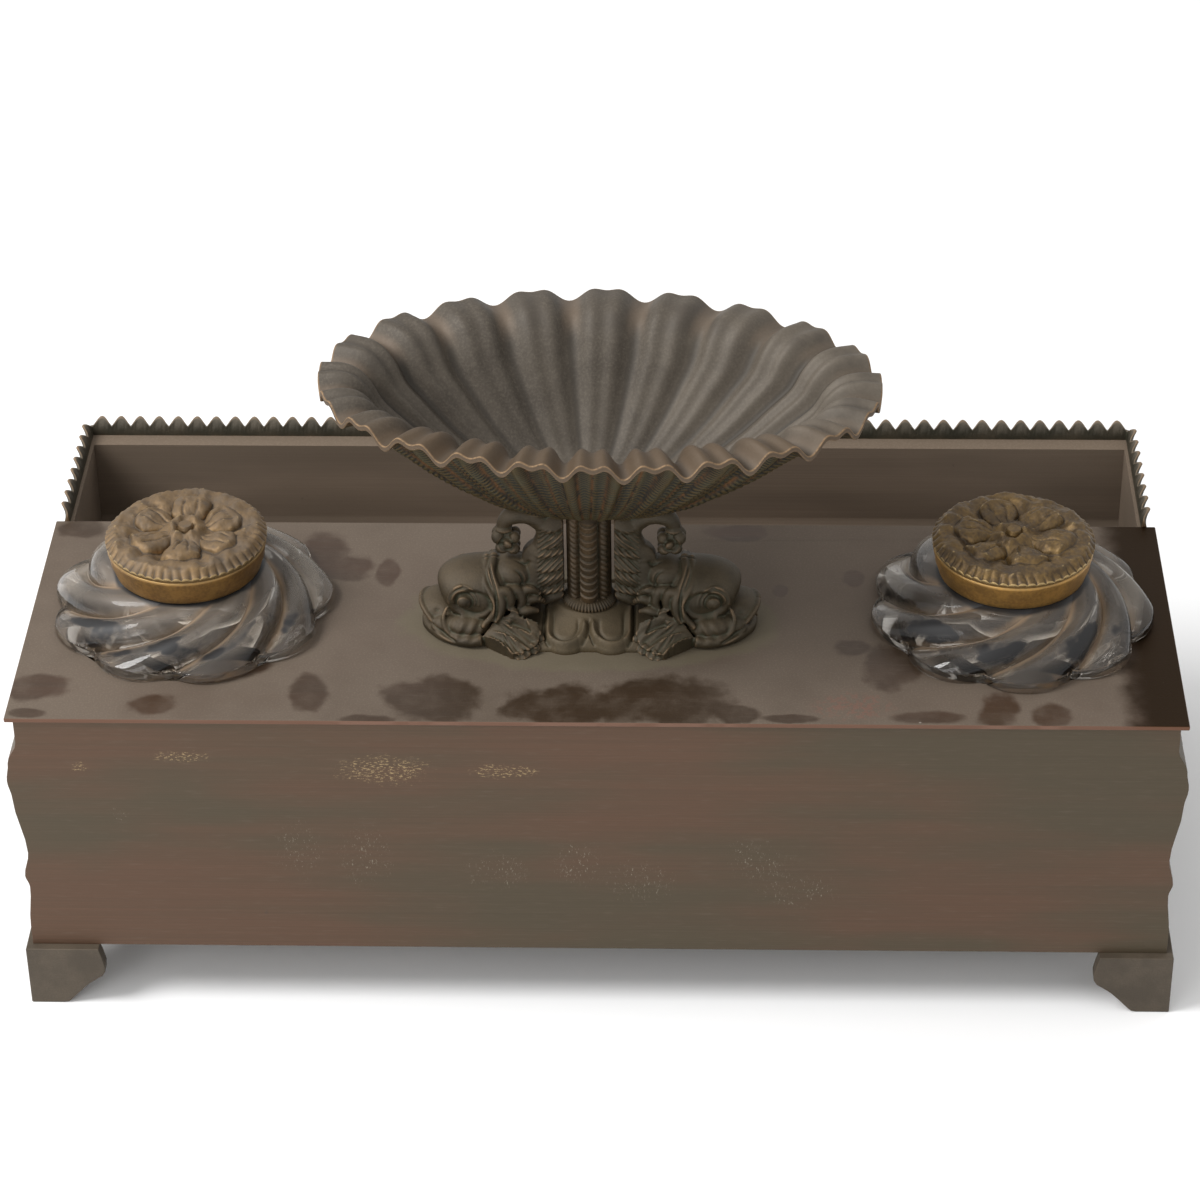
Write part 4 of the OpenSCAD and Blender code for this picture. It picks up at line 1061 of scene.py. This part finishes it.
def column_row(z):
    ribs = column_high.z - TOP_GAP
    if z > ribs:
        return np.full_like(angle, CORE_R)
    reach = np.full_like(angle, CORE_R)
    for k in range(6):
        far, across = circle_reach(angle, OUTER_R - CORD_R, math.radians(60 * k + 30), CORD_R)
        twist = (z / 1.7 + across / (2 * CORD_R) * 1.2) % 1
        reach = np.maximum(reach, far - 0.42 * (far > 0) * np.abs(2 * twist - 1) ** 2)
    for k in range(2):
        reach = np.maximum(reach, circle_reach(angle, OUTER_R - 1.9, math.pi * k, 2.1)[0])
        far, across = circle_reach(angle, OUTER_R - STRIP_R + 0.4, math.radians(90 + 180 * k), STRIP_R)
        bow = ((z - column_low.z) / 2.3 - 0.5 * (across / STRIP_R) ** 2) % 1
        band = np.where(bow < 0.8, (1 - bow / 0.8) * 0.35, 0.75 * (1 - np.abs(bow - 0.9) / 0.1) + 0.35 * (bow > 0.9))
        raised = far - band * (far > 0) - 0.3 * np.exp(-((np.abs(across) - 2.1) / 0.25) ** 2)
        reach = np.where(far > 0, np.maximum(reach - 0.8, raised), reach)
    return reach


heights = np.concatenate([np.arange(column_low.z, column_high.z - TOP_GAP, 0.17),
                          [column_high.z - TOP_GAP, column_high.z - TOP_GAP + 0.01, column_high.z]])
rows = []
for z in heights:
    reach = column_row(z)
    rows.append(np.stack([STAND.x + reach * np.cos(angle), STAND.y + reach * np.sin(angle), z + 0 * angle], axis=1))
column = skin("column_cast", rows)
fix_normals(column)
mark_relief(column, strength=4)
column_finish = cast_bronze("column bronze", (0.036, 0.024, 0.011), (0.078, 0.046, 0.019), dust=0.25, green=0.6, wear=0.55)
place(column, column_finish, "column")

# %% [markdown]
# ## The dolphins
#
# A dolphin's body is a tube that follows a spine from the brow down behind the gills and up to the
# curled tail. Bill, cheeks, gill ridges, leaves, fins and tail flower are eggs, tubes and fans. All
# are joined by remeshing them in fine cubes, as a modeller joins wax, and then the wax is tooled:
# eye sockets, mouth line and grooves are pressed in point by point.

# %% Tubes through points
def follow(stations, count):
    """Smooth in-between values for rows of numbers, by Catmull-Rom."""
    rows = np.asarray(stations, float)
    ends = np.concatenate([[2 * rows[0] - rows[1]], rows, [2 * rows[-1] - rows[-2]]])
    out = []
    for t in np.linspace(0, len(rows) - 1, count):
        i = min(int(t), len(rows) - 2)
        f = t - i
        a, b, c, d = ends[i:i + 4]
        out.append(0.5 * (2 * b + (c - a) * f + (2 * a - 5 * b + 4 * c - d) * f * f + (3 * b - a - 3 * c + d) * f ** 3))
    return np.array(out)


def tube(stations, count=24, sides=14, flat=1.0):
    """A round tube through (x, y, z, radius) stations; flat squeezes it sideways."""
    line = follow(stations, count)
    way = np.gradient(line[:, :3], axis=0)
    way /= np.linalg.norm(way, axis=1)[:, None] + 1e-9
    side = np.cross(way, (0, 0, 1.0))
    side[np.linalg.norm(side, axis=1) < 0.15] = (0, 1, 0)
    side /= np.linalg.norm(side, axis=1)[:, None]
    lift = np.cross(side, way)
    a = np.linspace(0, 2 * math.pi, sides, endpoint=False)
    rows = [p[:3] + max(p[3], 0.1) * (np.outer(np.cos(a), s) * flat + np.outer(np.sin(a), u))
            for p, s, u in zip(line, side, lift)]
    tips = [np.mean(rows[0], axis=0) - way[0] * max(line[0, 3], 0.1) * 0.5,
            np.mean(rows[-1], axis=0) + way[-1] * max(line[-1, 3], 0.1) * 0.5]
    rows = [rows[0] * 0.5 + tips[0] * 0.5] + rows + [rows[-1] * 0.5 + tips[1] * 0.5]
    return skin_data(rows)


# %% The dolphin's body
SPINE = [
    (38.6, 8.4, 7.4, 6.4), (36, 10, 9.6, 9.2), (31.6, 10.6, 10.4, 10.0), (27.6, 10.4, 10.2, 10.0), (24.2, 9.8, 7.8, 7.6),
    (20.8, 9.6, 6.6, 6.2), (17.2, 12, 5.8, 5.4), (15.0, 16, 4.8, 4.7), (14.3, 20.6, 4.2, 4.2), (13.0, 25, 3.4, 3.1),
    (11.8, 29.4, 3.0, 2.8), (13.2, 33.4, 2.9, 2.8), (17.2, 35.4, 2.9, 2.6), (21.4, 34.8, 2.8, 2.5), (23.4, 32.2, 2.2, 2.0),
    (23.1, 30.2, 1.8, 1.8)]
# The leaf between neck and column: height, inner edge, outer edge, half its thickness
NECK_LEAF = [(7.5, 9.6, 16.4, 2.6), (10, 7.3, 18, 3.6), (15, 6.4, 18.6, 4.4), (19, 6.35, 18.8, 4.4), (23, 6.35, 18.4, 4.0),
             (25.6, 6.35, 16.8, 3.8), (27.6, 6.35, 14.2, 3.6), (30, 6.35, 13.9, 3.4), (32, 6.35, 15.8, 3.3), (34.4, 7.0, 19, 3.0),
             (36.8, 8.4, 20.6, 2.2)]
# The breast fin's ribs: where each starts, and its tip
FIN_ROOTS = np.array([(25.8, 10.4, 6.4), (26.4, 10.8, 5.4), (27.2, 11.4, 4.4), (28.2, 12.2, 3.2), (29.4, 13.0, 1.9)])
FIN_TIPS = np.array([(16.8, 11.2, 8.4), (12.9, 12.0, 5.7), (12.9, 14.8, 2.8), (15.6, 18.2, 1.4), (19.8, 20.0, 1.1)])


def egg(centre, radii, sides=26):
    a = np.linspace(0, 2 * math.pi, sides, endpoint=False)
    rows = [np.stack([centre[0] + radii[0] * math.sin(t) * np.cos(a), centre[1] + radii[1] * math.sin(t) * np.sin(a),
                      centre[2] + radii[2] * math.cos(t) + 0 * a], axis=1)
            for t in np.linspace(0.08, math.pi - 0.08, sides // 2)]
    return skin_data(rows)


def body_tube():
    line = follow(SPINE, 110)
    a = np.linspace(0, 2 * math.pi, 48, endpoint=False)
    way = np.gradient(line[:, :2], axis=0)
    way /= np.linalg.norm(way, axis=1)[:, None]
    rows = []
    for (x, z, wide, tall), (dx, dz) in zip(line, way):
        v = tall * np.sin(a)
        rows.append(np.stack([x - dz * v, wide * np.cos(a), z + dx * v], axis=1))
    return skin_data(rows)


def neck_leaf():
    """A thick leaf whose folds fan out to a scalloped edge beside the column."""
    rows = []
    for z, inner, outer, thick in follow(NECK_LEAF, 180):
        u = np.linspace(0, 1, 40)
        fold = np.abs(np.sin(math.pi * (z - 3.2 * (1 - u) + 0.5 * np.sin(z)) / 4.1)) ** 0.8
        x = inner + (outer - inner) * u + 0.25 * (1 - fold) * (1 - ramp(u, 0, 0.25)) * (np.abs(z - 20) < 14)
        y = thick * np.sin(math.pi * (0.2 + 0.72 * u)) ** 0.7 + 1.9 * (fold - 0.6) * (1 - ramp(u, 0.35, 0.9))
        y = np.maximum(y, 0.5)
        front = np.stack([x, -y, z + 0 * x], axis=1)
        back = np.stack([x, y, z + 0 * x], axis=1)[::-1]
        rows.append(np.concatenate([front, back]))
    return skin_data(rows)


def fin(s):
    """A fan of scooped lobes with raised borders and round, upturned ends."""
    lobes = len(FIN_TIPS) - 1
    f = np.linspace(0, lobes, lobes * 16 + 1)
    roots, tips = follow(FIN_ROOTS, len(f)), follow(FIN_TIPS, len(f))
    within = f % 1
    scoop = np.sin(math.pi * within)
    over, under = [], []
    for t in np.linspace(0.0, 1.0, 40):
        reach = t * (0.92 + 0.12 * scoop ** 0.6)
        line = roots + (tips - roots) * reach[:, None]
        bulge = 1.5 * math.sin(math.pi * t) + 1.6 * (1 - t)
        relief = ramp(t, 0.05, 0.4) * (1.0 - 1.7 * scoop ** 0.6) + 1.3 * ramp(t, 0.86, 0.97) * scoop
        over.append(np.stack([line[:, 0], s * line[:, 1], line[:, 2] + bulge + relief], axis=1))
        under.append(np.stack([line[:, 0], s * line[:, 1], line[:, 2] - 1.1 - bulge * 0.4 + 0 * f], axis=1))
    rows = [np.concatenate([a, b[::-1]]) for a, b in zip(over, under)]
    return skin_data(rows)


def dolphin_wax():
    parts = [body_tube(), neck_leaf(), egg((32.1, 0, 11.4), (7.0, 10.2, 8.8)), egg((25.4, 0, 11.2), (4.2, 10.4, 9.2)),
             egg((21.2, 0, 17.3), (5.9, 6.7, 4.6)), egg((41.2, 0, 6.4), (5.9, 7.4, 3.4)), egg((22.6, 0, 27.4), (2.2, 2.4, 2.6))]
    for s in (-1, 1):
        parts += [
            # eyeball, cheek pad and jowl
            egg((34.6, s * 8.4, 12.4), (2.2, 2.3, 2.2)), egg((33.2, s * 9.0, 4.4), (6.2, 4.0, 3.2)),
            egg((39.4, s * 7.4, 3.6), (4.6, 3.6, 3.4)),
            # the gill's two nested ridges, from the crown to the jaw
            tube([(28.4, s * 0.5, 20.9, 0.9), (28.7, s * 6.6, 17.6, 0.9), (26.8, s * 9.6, 14.6, 0.9), (25.8, s * 10.7, 12.0, 0.9),
                  (26.8, s * 11.3, 8.8, 0.9), (29.4, s * 11.9, 6.0, 0.8)], 44),
            tube([(26.4, s * 0.5, 21.0, 1.2), (26.9, s * 5.2, 19.2, 1.2), (25.2, s * 8.6, 16.0, 1.2), (24.0, s * 10.2, 13.0, 1.2),
                  (24.4, s * 11.0, 9.8, 1.1), (26.0, s * 11.5, 7.4, 0.9)], 44),
            # brow fold over the front corner of the eye
            tube([(38.6, s * 7.8, 10.6, 0.3), (38.4, s * 7.9, 13.2, 0.3), (37.0, s * 8.0, 15.6, 0.3), (35.2, s * 7.8, 16.8, 0.3)], 30),
            # upper lip: the rolled rim of the bill
            tube([(47.1, s * 0.2, 7.6, 0.75), (46.8, s * 2.8, 7.5, 0.75), (45.6, s * 5.4, 6.7, 0.8), (43.8, s * 7.5, 5.2, 0.8),
                  (42.0, s * 8.9, 3.9, 0.7)], 40),
            # a fold between bill and cheek
            tube([(39.4, s * 7.8, 9.4, 0.4), (40.3, s * 9.0, 7.0, 0.7), (39.8, s * 10.4, 4.4, 0.8), (38.2, s * 11.8, 2.4, 0.8)], 24),
            # lower lip, spreading on the plate
            tube([(45.6, s * 0.6, 1.6, 1.4), (44.8, s * 4.9, 1.6, 1.5), (41.4, s * 9.4, 1.7, 1.6), (37.4, s * 11.9, 1.8, 1.7),
                  (33.4, s * 13.2, 1.8, 1.7), (29.6, s * 13.2, 2.0, 1.6)], 44),
            # curled leaves behind the gill
            tube([(24.8, s * 8.8, 15.4, 1.5), (22.4, s * 8.6, 15.2, 1.5), (21.6, s * 8.9, 12.2, 1.4), (22.8, s * 9.4, 10.6, 0.9)], 26),
            tube([(22.6, s * 6.8, 15.0, 1.6), (19.6, s * 7.0, 14.6, 1.5), (18.5, s * 7.6, 11.6, 1.3), (19.4, s * 8.2, 9.8, 0.8)], 26),
            tube([(25.0, s * 10.4, 7.0, 1.5), (22.4, s * 10.6, 7.0, 1.5), (20.4, s * 10.0, 9.0, 1.2), (21.4, s * 9.6, 10.8, 0.7)], 26),
            tube([(19.4, s * 5.8, 13.4, 1.6), (16.4, s * 6.2, 14.6, 1.3), (13.6, s * 5.4, 12.8, 0.6)], 22),
            tube([(20.4, s * 8.0, 7.2, 1.8), (17.0, s * 8.4, 9.0, 1.4), (14.0, s * 7.6, 8.4, 0.6)], 22),
            tube([(18.8, s * 5.4, 10.0, 2.0), (15.0, s * 6.0, 11.4, 1.3), (12.4, s * 5.2, 10.0, 0.6)], 22),
            fin(s),
            # tail: collar and petals of the flower, with a bead
            egg((23.4, s * 0.8, 31.0), (2.4, 1.9, 1.0)), egg((25.0, s * 1.2, 28.6), (1.9, 1.7, 2.1)),
            egg((23.9, s * 1.2, 25.2), (2.0, 1.7, 1.8)), egg((20.8, s * 1.2, 24.9), (1.9, 1.7, 1.7)),
            egg((20.4, s * 1.2, 28.6), (1.6, 1.7, 1.8)), egg((22.1, s * 2.6, 27.4), (1.4, 1.4, 1.4))]
    return merge_skins(parts)


# %% Tool marks pressed into the wax
def tool_marks(p):
    """How far a point moves out along its normal, from its place on the dolphin."""
    x, y, z = p[:, 0], np.abs(p[:, 1]), p[:, 2]
    eye = np.hypot(x - 34.6, z - 12.4)
    wall = ramp(y, 4.5, 6.5)
    almond = np.hypot((x - 32.3) / 6.3, (z - 11.7 - 0.06 * (33 - x)) / 4.5)
    deep = 0.75 + 0.85 * np.exp(-((x - 34.6) / 3.5) ** 2)
    move = -deep * (1 - ramp(almond, 0.75, 1.0)) * ramp(eye, 1.7, 2.5) * wall * (1 - ramp(y, 11.2, 12.4))
    move += (0.4 * np.exp(-((eye - 3.1) / 0.3) ** 2) + 0.28 * np.exp(-((eye - 4.3) / 0.3) ** 2)) * wall * (z > 11)
    mouth = z - (3.0 + 0.3 * np.clip(x - 40, -6, 8))
    move -= 0.9 * np.exp(-(mouth / 0.5) ** 2) * ramp(x, 36, 38.5) * (1 - ramp(x, 46.5, 47.5)) * (x + y > 41)
    corner = np.sqrt((x - 42.3) ** 2 + (y - 7.2) ** 2 + (z - 8) ** 2)
    move -= 0.8 * np.exp(-(corner / 1.3) ** 2)
    between = np.exp(-((x - (25.3 + 0.032 * (z - 12.4) ** 2)) / 0.35) ** 2) * ramp(z, 7, 9) * ramp(y, 2, 5)
    move -= 0.7 * between
    cape = ramp(21.5 - x, 0, 3.5) * window(z, 15, 22.5, 1.2) * (x > 14.5)
    move -= 0.75 * np.exp(-(((y + 0.25 * x) % 2.9 - 1.45) / 0.32) ** 2) * cape * (y < 7)
    fan = np.arctan2(y - 10.8, 26.8 - x)
    fin_mark = ramp(26.8 - x, 2, 4) * (1 - ramp(z, 8, 9.5)) * ramp(y, 9.5, 10.5)
    move += 0.14 * np.sin(fan * 42 + 0.5 * x) * fin_mark
    vein = window(z, 10, 33, 2) * (x < 14) * ramp(y, 1, 2)
    move += 0.2 * np.sin((z - 0.9 * (14 - x)) * 4.6) * vein
    pad = window(x, 28, 38, 2) * window(z, 2, 8, 1.5) * ramp(y, 9.5, 11)
    move += 0.2 * np.sin(x * 2.0 + z * 1.1) * pad
    petal = np.hypot(x - 22.6, z - 27)
    move -= 0.35 * np.exp(-((petal - 1.9) / 0.35) ** 2) * (petal < 5)
    return move


def wax_to_cast(points, faces, cube_mm):
    """Joins overlapping skins into one by remeshing them, and gives points and faces back."""
    model = new_piece("wax", points, faces)
    join = model.modifiers.new("join", "REMESH")
    join.mode, join.voxel_size = "VOXEL", cube_mm * MM
    soften = model.modifiers.new("soften", "SMOOTH")
    soften.factor, soften.iterations = 0.5, 2
    shown = model.evaluated_get(bpy.context.evaluated_depsgraph_get())
    mesh = shown.to_mesh()
    count = len(mesh.vertices)
    places, normals = np.zeros(count * 3), np.zeros(count * 3)
    mesh.vertices.foreach_get("co", places)
    mesh.vertex_normals.foreach_get("vector", normals)
    cast_faces = [tuple(face.vertices) for face in mesh.polygons]
    shown.to_mesh_clear()
    bpy.data.objects.remove(model)
    return places.reshape(-1, 3) / MM, normals.reshape(-1, 3), cast_faces


wax, normals, dolphin_faces = wax_to_cast(*dolphin_wax(), 0.3)
cast = wax + normals * tool_marks(wax)[:, None]
room = [box_mm("dolphin_right")[k] - STAND for k in (0, 1)]
cast[:, 0] = np.clip(cast[:, 0], room[0].x + 0.05, room[1].x - 0.05)
cast[:, 1] = np.clip(cast[:, 1], room[0].y + 0.05, room[1].y - 0.05)
cast[:, 2] = np.clip(cast[:, 2], 0.05, room[1].z - 0.05)
for name, side in (("left", -1), ("right", 1)):
    there = np.stack([STAND.x + side * cast[:, 0], STAND.y + cast[:, 1], STAND.z + cast[:, 2]], axis=1)
    turned = dolphin_faces if side > 0 else [face[::-1] for face in dolphin_faces]
    dolphin = new_piece(f"dolphin_{name}_cast", there, turned)
    mark_relief(dolphin, passes=4, strength=6)
    # The right dolphin takes the copy of the stand bronze with painted shade.
    place(dolphin, stand_finish if side < 0 else stand_finish_painted_shade, "dolphin_" + name)

# %% [markdown]
# ## The shell dish
#
# The dish is an oval bowl that flares into a nearly level lip. Twenty-two lobes start near the
# middle and swell towards the lip, each with two humps and a soft groove, and deep narrow valleys
# part them. The inside is smooth, the underside is feathered, and the lip is a plain narrow band.

# %% Dish shape
dish_low, dish_high = box_mm("dish")
DISH_A, DISH_B, LIP_W, DISH_H, DISH_T = 76, 46.5, 17, 36, 2.2
LEAN_X, LEAN_Y, END_DROP, END_SAG = 3.5, 4, 1.5, 1.2
FLUTES, FLUTE_D = 22, 4.2
# From foot to lip: share of the bowl's width, of the lip's, of the height, of a flute's depth; tilt
DISH_LINE = [
    (0.19, 0, 0, 0, 0), (0.36, 0, 0.03, 0.06, 12), (0.55, 0, 0.145, 0.18, 28), (0.75, 0, 0.36, 0.34, 42),
    (0.9, 0, 0.57, 0.5, 48), (1, 0, 0.72, 0.65, 50), (1, 0.2, 0.87, 0.82, 44), (1, 0.4, 0.965, 0.96, 24),
    (1, 0.65, 1, 1, 4), (1, 1, 0.985, 1, -4)]
dish_curve = follow(DISH_LINE, 721)
dish_shares = np.linspace(0, 1, 721)


def lobe_turn(lane):
    """Where a place round the rim, counted in lobes, lies as an angle: end lobes are broader."""
    a = 2 * math.pi * lane / FLUTES
    return a + np.radians(8 - 6.6 * np.cos(a) + 0.9 * np.sin(a) + 1.5 * np.cos(2 * a) + 3.9 * np.sin(2 * a))


def lobe_wave(lane, turn):
    """Two humps with a groove between them, deeper on the near side, and a narrow valley."""
    t = 2 * math.pi * lane
    groove = 0.24 - 0.06 * np.sin(turn)
    uneven = 1 + 0.07 * np.sin(2.3 * turn + 1) + 0.05 * np.sin(5.1 * turn)
    return uneven * (0.42 * np.cos(t) - groove * np.cos(2 * t) - 0.02 * np.cos(3 * t) - 0.05)


def dish_surface(lane, share, depth, beyond=0.0):
    """Place on the dish: its inner face at depth 0, its underside at depth in mm."""
    bowl, lip, rise, swell, tilt = [np.interp(share, dish_shares, dish_curve[:, k]) for k in range(5)]
    turn, tilt = lobe_turn(lane), np.radians(tilt)
    wide = (DISH_A - LIP_W) * bowl + LIP_W * lip
    deep = (DISH_B - LIP_W) * bowl + LIP_W * lip
    lift = FLUTE_D * swell * lobe_wave(lane, turn) - depth
    out = beyond - np.sin(tilt) * lift
    sink = share * (END_DROP * np.cos(turn) + END_SAG * np.cos(turn) ** 2)
    x = (wide + out) * np.cos(turn) + LEAN_X * wide / DISH_A
    y = (deep + out) * np.sin(turn) + LEAN_Y * deep / DISH_B
    return np.stack([x, y, DISH_H * rise + np.cos(tilt) * lift + DISH_T - sink], axis=-1)


# %% Feathered ribs on the underside
LANES_PER_LOBE = 3


def feather_seam(lane):
    """1 on the seams between the feathered columns, 0 in the middle of a column."""
    away = np.abs((lane * LANES_PER_LOBE) % 1 - 0.5) * 2
    return np.exp(-((away - 1) / 0.2) ** 2)


def feather(lane, share):
    """Depth of the ribs cut into the underside, in mm: rungs that bow, between seams."""
    column = (lane * LANES_PER_LOBE) % 1
    bow = 0.8 * np.abs(column - 0.5) ** 1.5 * np.where(np.floor(lane * LANES_PER_LOBE) % 2 > 0, 1, -1)
    rung = np.abs(((share * 56 + bow * 2.2) % 1) - 0.5) * 2
    seam = feather_seam(lane)
    ridge = np.exp(-((np.abs(column - 0.5) * 2 - 0.93) / 0.05) ** 2)
    fade = ramp(share, 0.1, 0.16) * (1 - ramp(share, 0.93, 0.96))
    return fade * (0.5 * rung ** 1.3 * (1 - seam) + 0.62 * seam - 0.3 * ridge)


sides = FLUTES * 30
lane = np.linspace(0, FLUTES, sides, endpoint=False)
rows = [dish_surface(lane, np.zeros(sides), DISH_T) * (shrink, shrink, 1) for shrink in (0.1, 0.6, 0.9)]
under = np.concatenate([np.linspace(0, 0.96, 270), [0.97, 0.985, 0.993]])
for share in under:
    thick = DISH_T - 0.5 * ramp(share, 0.85, 1)
    rows.append(dish_surface(lane, np.full(sides, share), thick - feather(lane, np.full(sides, share))))
lip_start = len(rows)
for depth, beyond in ((1.7, 0.0), (1.62, 0.12), (1.45, 0.2), (1.0, 0.16), (0.5, 0.12), (0.25, 0.2), (0.08, 0.12), (0, 0)):
    rows.append(dish_surface(lane, np.ones(sides), depth, beyond))
lip_end = len(rows)
for share in np.concatenate([[0.993], np.linspace(0.985, 0, 100)]):
    rows.append(dish_surface(lane, np.full(sides, share), 0))
rows += [dish_surface(lane, np.zeros(sides), 0) * (shrink, shrink, 1) for shrink in (0.9, 0.5, 0.1)]
rows = np.array(rows) + (STAND.x, STAND.y, dish_low.z)
for axis in range(3):
    rows[..., axis] = np.clip(rows[..., axis], dish_low[axis] + 0.02, dish_high[axis] - 0.02)
dish = skin("dish_cast", rows)
fix_normals(dish)
mark_relief(dish, passes=2, strength=4)


def row_field(name, per_row):
    """A number for each point of the dish, from an array that holds rows by columns."""
    field = np.zeros(len(dish.data.vertices))
    field[:per_row.size] = per_row.ravel()
    add_field(dish, name, field)


below = np.zeros((len(rows), sides))
below[:lip_start] = 1
row_field("underside", below)
seams = np.zeros((len(rows), sides))
seams[:lip_start] = feather_seam(lane)
row_field("seam", seams)
lip_line = np.zeros((len(rows), sides))
lip_line[lip_start:lip_end] = np.array([0.55, 0.6, 0.2, 0, 0, 0.6, 1, 0.8])[:, None]
row_field("lip_line", lip_line)
lip_band = np.zeros((len(rows), sides))
lip_band[lip_start:lip_end] = 1
row_field("lip_band", lip_band)
depth_in = np.zeros((len(rows), sides))
depth_in[lip_end:] = 1 - np.clip((lobe_wave(lane, lobe_turn(lane)) + 0.7) / 0.55, 0, 1)
row_field("valley", depth_in)

# %% Dish finish
shell = Finish("dish bronze")
relief = shell.relief()
under_mark, seam_mark = shell.relief("underside"), shell.relief("seam")
band_mark, line_mark, valley = shell.relief("lip_band"), shell.relief("lip_line"), shell.relief("valley")
blotch = shell.cloud(16, detail=5, rough=0.6, seed=60)
grain = shell.cloud(0.7, detail=4, rough=0.65, seed=61)
streak = shell.cloud(5, detail=4, seed=62)
inner = shell.mix(shell.step(blotch, 0.3, 0.7), DISH_DARK, DISH_LIGHT)
# Painted light: the inside of the bowl is painted lighter towards its right end.
inner = shell.mix(shell.step(shell.axis("X"), 0.0, 0.075) * 0.45, inner, (0.17, 0.141, 0.108))
inner = shell.mix(shell.step(grain, 0.4, 0.75) * 0.4, inner, (0.165, 0.14, 0.107))
near_lip = shell.step(shell.axis("Z"), (dish_high.z - 9) * MM, (dish_high.z - 3) * MM)
# Painted shade: dark lines down the valleys, below the lip.
inner = shell.mix(shell.step(valley, 0.5, 1.0) * (1 - near_lip) * 0.75, inner, (0.03, 0.024, 0.017))
inner = shell.mix((1 - valley) * near_lip * shell.step(blotch, 0.45, 0.62) * 0.55, inner, (0.05, 0.04, 0.031))
inner = shell.mix(valley * near_lip * 0.7, inner, (0.19, 0.135, 0.092))
front = shell.step(shell.axis("Y"), (STAND.y - 12) * MM, (STAND.y - 32) * MM)
inner = shell.mix(near_lip * front * 0.7, inner, (0.08, 0.046, 0.019))
# Painted shade in the hollows of the relief.
inner = shell.mix(shell.step(relief, -0.05, -0.4) * 0.4, inner, (0.045, 0.037, 0.027))
fleck = shell.step(shell.cloud(1.6, detail=3, rough=0.7, seed=65), 0.7, 0.76)
inner = shell.mix(fleck * 0.45, inner, (0.3, 0.27, 0.23))
rung = shell.step(relief + (grain - 0.5) * 0.3, -0.1, 0.3)
green = shell.mix(shell.step(streak, 0.35, 0.65), (0.013, 0.012, 0.008), (0.022, 0.02, 0.013))
outer = shell.mix(rung, green, shell.mix(shell.step(streak, 0.4, 0.6), (0.062, 0.04, 0.011), (0.053, 0.042, 0.016)))
orange = seam_mark * shell.step(streak * 0.6 + grain * 0.4, 0.42, 0.6)
outer = shell.mix(orange * 0.85, outer, (0.14, 0.058, 0.014))
tone = shell.mix(under_mark, inner, outer)
tone = shell.mix(band_mark * 0.85, tone, shell.mix(grain, (0.068, 0.043, 0.024), (0.11, 0.074, 0.044)))
copper = line_mark * shell.step(grain, 0.25, 0.55)
tone = shell.mix(copper * 0.75, tone, (0.34, 0.22, 0.12))
dish_finish = shell.finish(
    Base_Color=tone, Metallic=0.2 + copper * 0.4 + under_mark * 0.25, Roughness=0.64 - rung * under_mark * 0.1,
    Normal=shell.bump(grain * 0.7 + streak, 0.12, 0.6))
place(dish, dish_finish, "dish")

# %% [markdown]
# ## Floor and light
#
# The stand-in for a studio: a pale floor that fades into a white world, one large soft lamp
# above and a little to the left, and a weak one from the camera's side.

# %% Floor
floor = new_piece("floor", [(-3000, -3000, 0), (3000, -3000, 0), (3000, 3000, 0), (-3000, 3000, 0)], [(0, 1, 2, 3)],
                  smooth=False)
paper = Finish("floor paper")
floor.data.materials.append(paper.finish(
    Base_Color=paper.mix(paper.cloud(400, detail=1), (0.93, 0.93, 0.93), (0.95, 0.95, 0.95)), Roughness=0.9))


# %% Lamps and sky
def lamp(name, place_m, aim_m, size_m, watts, tint=(1, 1, 1)):
    data = bpy.data.lights.new(name, "AREA")
    data.shape, data.size, data.energy, data.color = "DISK", size_m, watts, tint
    thing = bpy.data.objects.new(name, data)
    thing.location = place_m
    thing.rotation_euler = (Vector(aim_m) - Vector(place_m)).to_track_quat("-Z", "Y").to_euler()
    bpy.context.scene.collection.objects.link(thing)


lamp("key", (-0.95, -0.3, 1.15), (0, 0, 0.08), 0.7, 18)
lamp("fill", (-0.7, -1.2, 0.7), (-0.05, 0, 0.08), 0.8, 4)
world = bpy.data.worlds.new("white room")
bpy.context.scene.world = world
world.use_nodes = True
sky = world.node_tree.nodes["Background"]
sky.inputs[0].default_value = (1, 1, 1, 1)
sky.inputs[1].default_value = 0.76
bpy.context.scene.view_settings.view_transform = "Standard"
print("studio ready")
